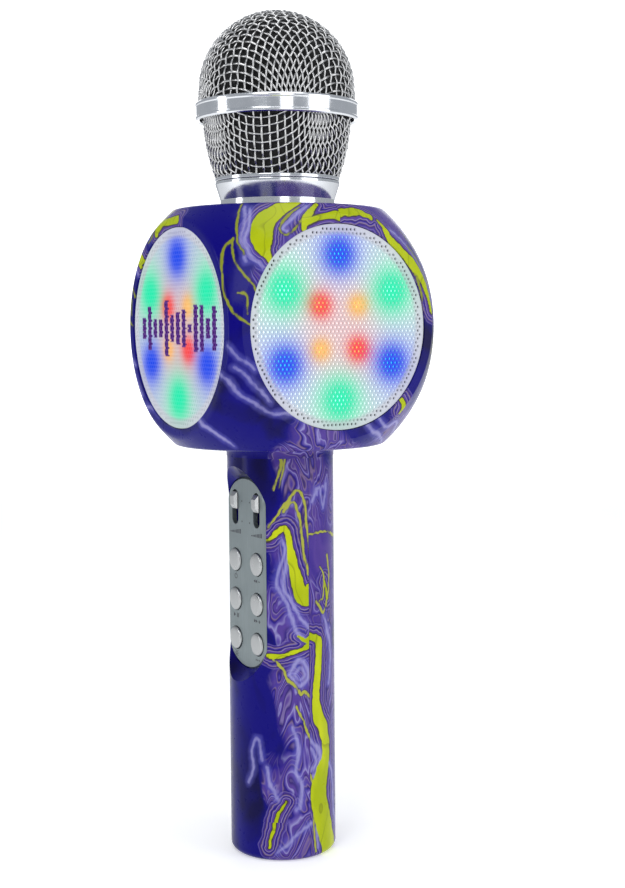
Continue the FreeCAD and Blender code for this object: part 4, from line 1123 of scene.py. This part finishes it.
# ---------------------------------------------------------------- turned pieces
def turned_pieces(finish):
    """Neck collar, ring under the mesh, and equator ring. Corners are (r, z, fillet)."""
    foot, top, bottom = HOUSING_TOP, high("neck_collar", 2), low("neck_collar", 2)
    collar = [(10.6, bottom, 0), (17.0, bottom, .2), (17.0, bottom + 1.9, .2), (13.9, bottom + 1.9, 0),
              (13.9, foot, 0), (18.3, foot, .25), (18.4, foot + 2.9, .5), (20.0, top - .9, .3),
              (20.0, top, .3), (17.6, top, .2), (17.6, top - 7.0, 0), (10.6, top - 7.0, 0)]
    base, seat, base_r = (low("grille_base_ring", 2), high("grille_base_ring", 2), high("grille_base_ring", 0))
    ring = [(16.15, base, .2), (17.55, base, .3), (17.55, seat - 1.2, .1), (base_r, seat - 1.2, .25),
            (base_r, seat, .35), (16.15, seat, .2)]
    low_z, top_z, ring_r = low("grille_ring", 2), high("grille_ring", 2), high("grille_ring", 0)
    band = [(24.7, low_z + .45, 0), (ring_r - .48, low_z, .15), (ring_r, low_z + .5, .25),
            (ring_r, low_z + 1.05, .2), (ring_r - .28, low_z + 1.35, .2), (ring_r - .28, top_z - 1.35, .2),
            (ring_r, top_z - 1.05, .2), (ring_r, top_z - .5, .25), (ring_r - .5, top_z, .2), (24.7, top_z, 0)]
    for node, corners in (("neck_collar", collar), ("grille_base_ring", ring), ("grille_ring", band)):
        stand_for(lathe("turned_" + node, rounded_outline(corners), 288), node, finish["chrome_plate"])


def bowl_knots(inset):
    """Three (r, z) points of the bowl's wall, moved inwards."""
    edge, start = high("grille_base_ring", 0), high("grille_base_ring", 2)
    return [(edge - inset, start), (22.6 - inset, start + 8.9), (23.8 - inset, low("grille_ring", 2) - 0.3)]


def arc_points(a, b, c, count):
    """Points along the circle through three (r, z) points."""
    (ax, ay), (bx, by), (cx, cy) = a, b, c
    d = 2 * (ax * (by - cy) + bx * (cy - ay) + cx * (ay - by))
    ux = ((ax**2 + ay**2) * (by - cy) + (bx**2 + by**2) * (cy - ay) + (cx**2 + cy**2) * (ay - by)) / d
    uy = ((ax**2 + ay**2) * (cx - bx) + (bx**2 + by**2) * (ax - cx) + (cx**2 + cy**2) * (bx - ax)) / d
    radius = math.hypot(ax - ux, ay - uy)
    first, last = math.atan2(ay - uy, ax - ux), math.atan2(cy - uy, cx - ux)
    turns = first + np.linspace(0, 1, count) * ((last - first + math.pi) % (2 * math.pi) - math.pi)
    return np.stack([ux + radius * np.cos(turns), uy + radius * np.sin(turns)], 1)


def ball_head(finish):
    """Woven dome and bowl with the foam behind them."""
    ring_top, ring_low = high("grille_ring", 2), low("grille_ring", 2)
    centre, net_r = high("grille_dome", 2) - DOME_R, DOME_R - WIRE_R
    turns = np.linspace(0, math.pi / 2, 40)
    over = [(net_r * math.sin(t), centre + net_r * math.cos(t)) for t in turns]
    over += [(net_r + 0.2, centre - 2.0), (net_r + 0.35, ring_top), (net_r + 0.35, ring_top - 1.2)]
    profile, end = profile_reader(over)
    dome = wire_tubes("woven_dome", profile, end, math.radians(24.6), 1)
    stand_for(dome, "grille_dome", finish["wire_chrome"])
    wall = arc_points(*bowl_knots(WIRE_R), 30)
    start_r, start_z = wall[0]
    under = [(0.0, start_z - 9.5)]
    under += [(start_r * math.sin(t) * 0.94, start_z - 9.5 * math.cos(t) ** 0.9)
              for t in np.linspace(0.12, 1.35, 14)]
    profile, end = profile_reader(under + [tuple(p) for p in wall] + [(wall[-1][0] + 0.15, ring_low + 1.0)])
    bowl = wire_tubes("woven_bowl", profile, end, math.radians(47.6), 1)
    trim_below(bowl, start_z - 0.2)
    stand_for(bowl, "grille_bowl", finish["wire_chrome"])
    foam(finish, centre)


def trim_below(piece, height):
    """Cuts a piece off at a height and closes the cut wires."""
    grid = bmesh.new()
    grid.from_mesh(piece.data)
    bmesh.ops.bisect_plane(grid, geom=grid.verts[:] + grid.edges[:] + grid.faces[:], dist=1e-7,
                           plane_co=(0, 0, height * MM), plane_no=(0, 0, -1), clear_outer=True)
    open_edges = [edge for edge in grid.edges if edge.is_boundary]
    bmesh.ops.holes_fill(grid, edges=open_edges, sides=0)
    grid.to_mesh(piece.data)
    grid.free()
    smooth(piece, 80)


def foam(finish, centre):
    """Foam windscreen that fills the mesh, with shallow pores."""
    def skin(inset):
        wall = [tuple(p) for p in arc_points(*bowl_knots(inset), 26)]
        turns = np.linspace(math.pi / 2, 0, 48)
        return wall + [((DOME_R - inset) * math.sin(t), centre + (DOME_R - inset) * math.cos(t)) for t in turns]

    outer, inner = skin(FOAM_OUTER), skin(FOAM_INNER)
    outer[0] = (outer[0][0], outer[0][1] + 0.2)
    inner[0] = (inner[0][0], inner[0][1] + 0.2)
    piece = lathe("foam_windscreen", outer + inner[::-1], 220, 70)
    points = np.array([v.co for v in piece.data.vertices]) / MM
    middle = np.array([0, 0, high("grille_base_ring", 2) + 20])
    ways = points - middle
    ways /= np.maximum(np.linalg.norm(ways, axis=1), 1e-6)[:, None]
    rng = np.random.default_rng(7)
    pores = np.zeros(len(points))
    for _ in range(14):
        pores += np.sin(points @ (rng.normal(size=3) * 2.6) + rng.uniform(0, 6.28))
    points -= ways * (0.10 * np.abs(pores) / 3.7)[:, None]
    piece.data.vertices.foreach_set("co", (points * MM).ravel())
    piece.data.update()
    stand_for(piece, "foam_liner", finish["black_foam"])


def middle_of(node, axis):
    return (low(node, axis) + high(node, axis)) / 2


def buttons(finish):
    """Six domed caps with their flanges and stems."""
    cap_r, flange_r, stem_r = 3.65, 4.45, 1.4
    under, over = PANEL_BACK - .9, PANEL_BACK - .1
    for row in ROWS:
        for side in ("left", "right"):
            node = f"button_{row}_{side}"
            face, back = -low(node, 1), -high(node, 1)
            outline = rounded_outline([
                (0, back, 0), (stem_r, back, .2), (stem_r, under, 0), (flange_r, under, .1),
                (flange_r, over, .1), (cap_r, over, 0)])
            outline += [(r, face - drop) for r, drop in (
                (cap_r, .75), (3.62, .55), (3.5, .38), (3.25, .24), (2.8, .15), (2.1, .07), (1.1, .02), (0, 0))]
            piece = lathe("domed_" + node, [(r, -h) for r, h in outline], 120, 40, "y",
                          (middle_of(node, 0), 0, middle_of(node, 2)))
            stand_for(piece, node, finish["button_silver"])


# ---------------------------------------------------------------- printed marks on the panel
def panel_marks():
    """Plain symbols in place of words: level wedges, power, lamp, play, next and previous."""
    points, faces = [], []
    stroke, ring_stroke = .26, .24

    def add(outline, x, z, scale=1.0):
        first = len(points)
        count = len(outline)
        for depth in (PANEL_FACE - 0.05, PANEL_FACE + 0.02):
            points.extend([(x + px * scale, -depth, z + pz * scale) for px, pz in outline])
        faces.append(tuple(first + count + k for k in range(count)))
        faces.append(tuple(first + count - 1 - k for k in range(count)))
        for k in range(count):
            n = (k + 1) % count
            faces.append((first + k, first + n, first + count + n, first + count + k))

    def bar(x, z, w, h):
        add([(-w / 2, -h / 2), (w / 2, -h / 2), (w / 2, h / 2), (-w / 2, h / 2)], x, z)

    def play(x, z, way, scale):
        add([(-.45 * way, -.5), (.45 * way, 0), (-.45 * way, .5)][::way], x, z, scale)

    def hoop(x, z, radius, start=0.0, end=360.0):
        turns = np.radians(np.linspace(start, end, 25))
        for k in range(24):
            a, b = turns[k], turns[k + 1]
            add([(r * math.cos(t), r * math.sin(t)) for r, t in
                 ((radius - ring_stroke / 2, a), (radius + ring_stroke / 2, a),
                  (radius + ring_stroke / 2, b), (radius - ring_stroke / 2, b))], x, z)

    drop = 5.4
    top, middle, bottom = (middle_of(f"button_{row}_left", 2) - drop for row in ROWS)
    left = middle_of("button_top_left", 0)
    for x in (left, -left):
        for k in range(8):
            bar(x - 3.1 + k * .9, PANEL_HIGH - 18.4 + k * .08, .5, .4 + k * .16)
        for z in (PANEL_HIGH - 7.9, PANEL_HIGH - 14.5):
            hoop(x / abs(x) * 2.5, z, .16)
    hoop(left, top, .8, 120, 420)
    bar(left, top + .75, stroke, 1.0)
    play(left - 1.1, middle, 1, 1.35)
    for x in (.6, 1.4):
        bar(left + x, middle, .4, 1.4)
    hoop(left, bottom + .3, .55)
    for t in np.arange(8) * math.pi / 4:
        bar(left + 1.1 * math.cos(t), bottom + .3 + 1.1 * math.sin(t), .28, .28)
    right = -left
    for z, way in ((top, -1), (middle, 1)):
        play(right - 1.6, z, way, 1.2)
        play(right - .5, z, way, 1.2)
        bar(right + 1.3, z, 1.1, .28)
    bar(right + 1.3, middle, .28, 1.1)
    for x in (-1, 0, 1):
        bar(right + x, bottom + .3, .5, .5)
    piece = new_piece("panel_marks", points, faces, 30)
    piece.data.materials.append(surface("mark_ink", (0.02, 0.02, 0.03), 0.5, grain=2500, depth=0.000003))
    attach(piece, "microphone_body")


# ---------------------------------------------------------------- stage
def flat_piece(name, corners, colour, glow, rough, place=(0, 0, 0), turn=0.0):
    """A plain lit surface of the studio."""
    mesh = bpy.data.meshes.new(name)
    mesh.from_pydata(corners, [], [(0, 1, 2, 3)])
    item = bpy.data.objects.new(name, mesh)
    bpy.context.scene.collection.objects.link(item)
    item.location = place
    item.rotation_euler = (0, 0, math.radians(turn))
    s = Shader("studio_" + name)
    shade = s.mix(s.span(s.noise(6, 3, 0.5), 0.3, 0.7), tuple(c * 0.956 for c in colour), colour)
    mesh.materials.append(s.finish(shade, {"Roughness": rough, "Emission Color": (1, 1, 1),
                                           "Emission Strength": glow}))


# lamp: place, aim, watts, width, height
LAMPS = {
    "key": ((0.55, -0.75, 0.75), (0, 0, 0.15), 3.2, 0.4, 0.6),
    "side": ((0.75, 0.45, 0.35), (0, 0, 0.2), 2.6, 0.5, 0.8),
    "near": ((0.86, -0.26, 0.30), (0, 0, 0.2), 0.9, 0.26, 0.7),
    "left": ((-0.35, -0.85, 0.30), (0, 0, 0.15), 1.6, 0.22, 0.7),
    "top": ((0.05, 0.0, 0.95), (0, 0, 0.15), 2.2, 0.5, 0.5),
}


def stage():
    """Pale floor, white card behind, an even sky and five soft lamps."""
    scene = bpy.context.scene
    scene.view_settings.view_transform = "Standard"
    scene.view_settings.look = "None"
    wide = 4.0
    flat_piece("floor", [(-wide, -wide, 0), (wide, -wide, 0), (wide, wide, 0), (-wide, wide, 0)],
               (0.90, 0.90, 0.90), 0.36, 0.8)
    flat_piece("backdrop", [(-0.52, 0, -0.5), (0.52, 0, -0.5), (0.52, 0, 1.2), (-0.52, 0, 1.2)],
               (0.8, 0.8, 0.8), 1.0, 1.0, (-1.35, 0.85, 0), 58.4)
    world = bpy.data.worlds.new("studio")
    scene.world = world
    world.use_nodes = True
    sky = world.node_tree.nodes["Background"]
    sky.inputs[0].default_value = (0.80, 0.84, 0.90, 1)
    sky.inputs[1].default_value = 0.52
    for name, (place, aim, power, width, height) in LAMPS.items():
        lamp = bpy.data.lights.new(name, "AREA")
        lamp.shape, lamp.size, lamp.size_y, lamp.energy = "RECTANGLE", width, height, power
        item = bpy.data.objects.new(name, lamp)
        scene.collection.objects.link(item)
        item.location = place
        item.rotation_euler = (Vector(aim) - Vector(place)).to_track_quat("-Z", "Y").to_euler()


def camera():
    """The photograph's view, in metres."""
    lens = bpy.data.cameras.new("view")
    lens.lens, lens.sensor_width, lens.clip_start = 61.14, 36.0, 0.02
    item = bpy.data.objects.new("view", lens)
    bpy.context.scene.collection.objects.link(item)
    right = (0.52506, 0.85104, -0.00743)
    up = (-0.06471, 0.04863, 0.99672)
    back = (0.84860, -0.52285, 0.08061)
    place = (0.42147, -0.24726, 0.17266)
    matrix = item.matrix_world.copy()
    for row, values in enumerate(zip(right, up, back, place)):
        matrix[row][:] = values
    item.matrix_world = matrix
    bpy.context.scene.camera = item


# ---------------------------------------------------------------- everything together
def dress_cad(finish):
    """Gives each CAD node that is still shown the finish of its slot."""
    for name, item in nodes.items():
        if item.hide_render:
            continue
        item.data.materials.clear()
        slot = SLOT_OF[name]
        side = name.rsplit("_", 1)[-1]
        item.data.materials.append(film(side) if slot == "diffuser_white" else finish[slot])


camera()
finishes = slot_materials()
painted_pieces()
perforated_discs()
turned_pieces(finishes)
ball_head(finishes)
buttons(finishes)
panel_marks()
dress_cad(finishes)
stage()
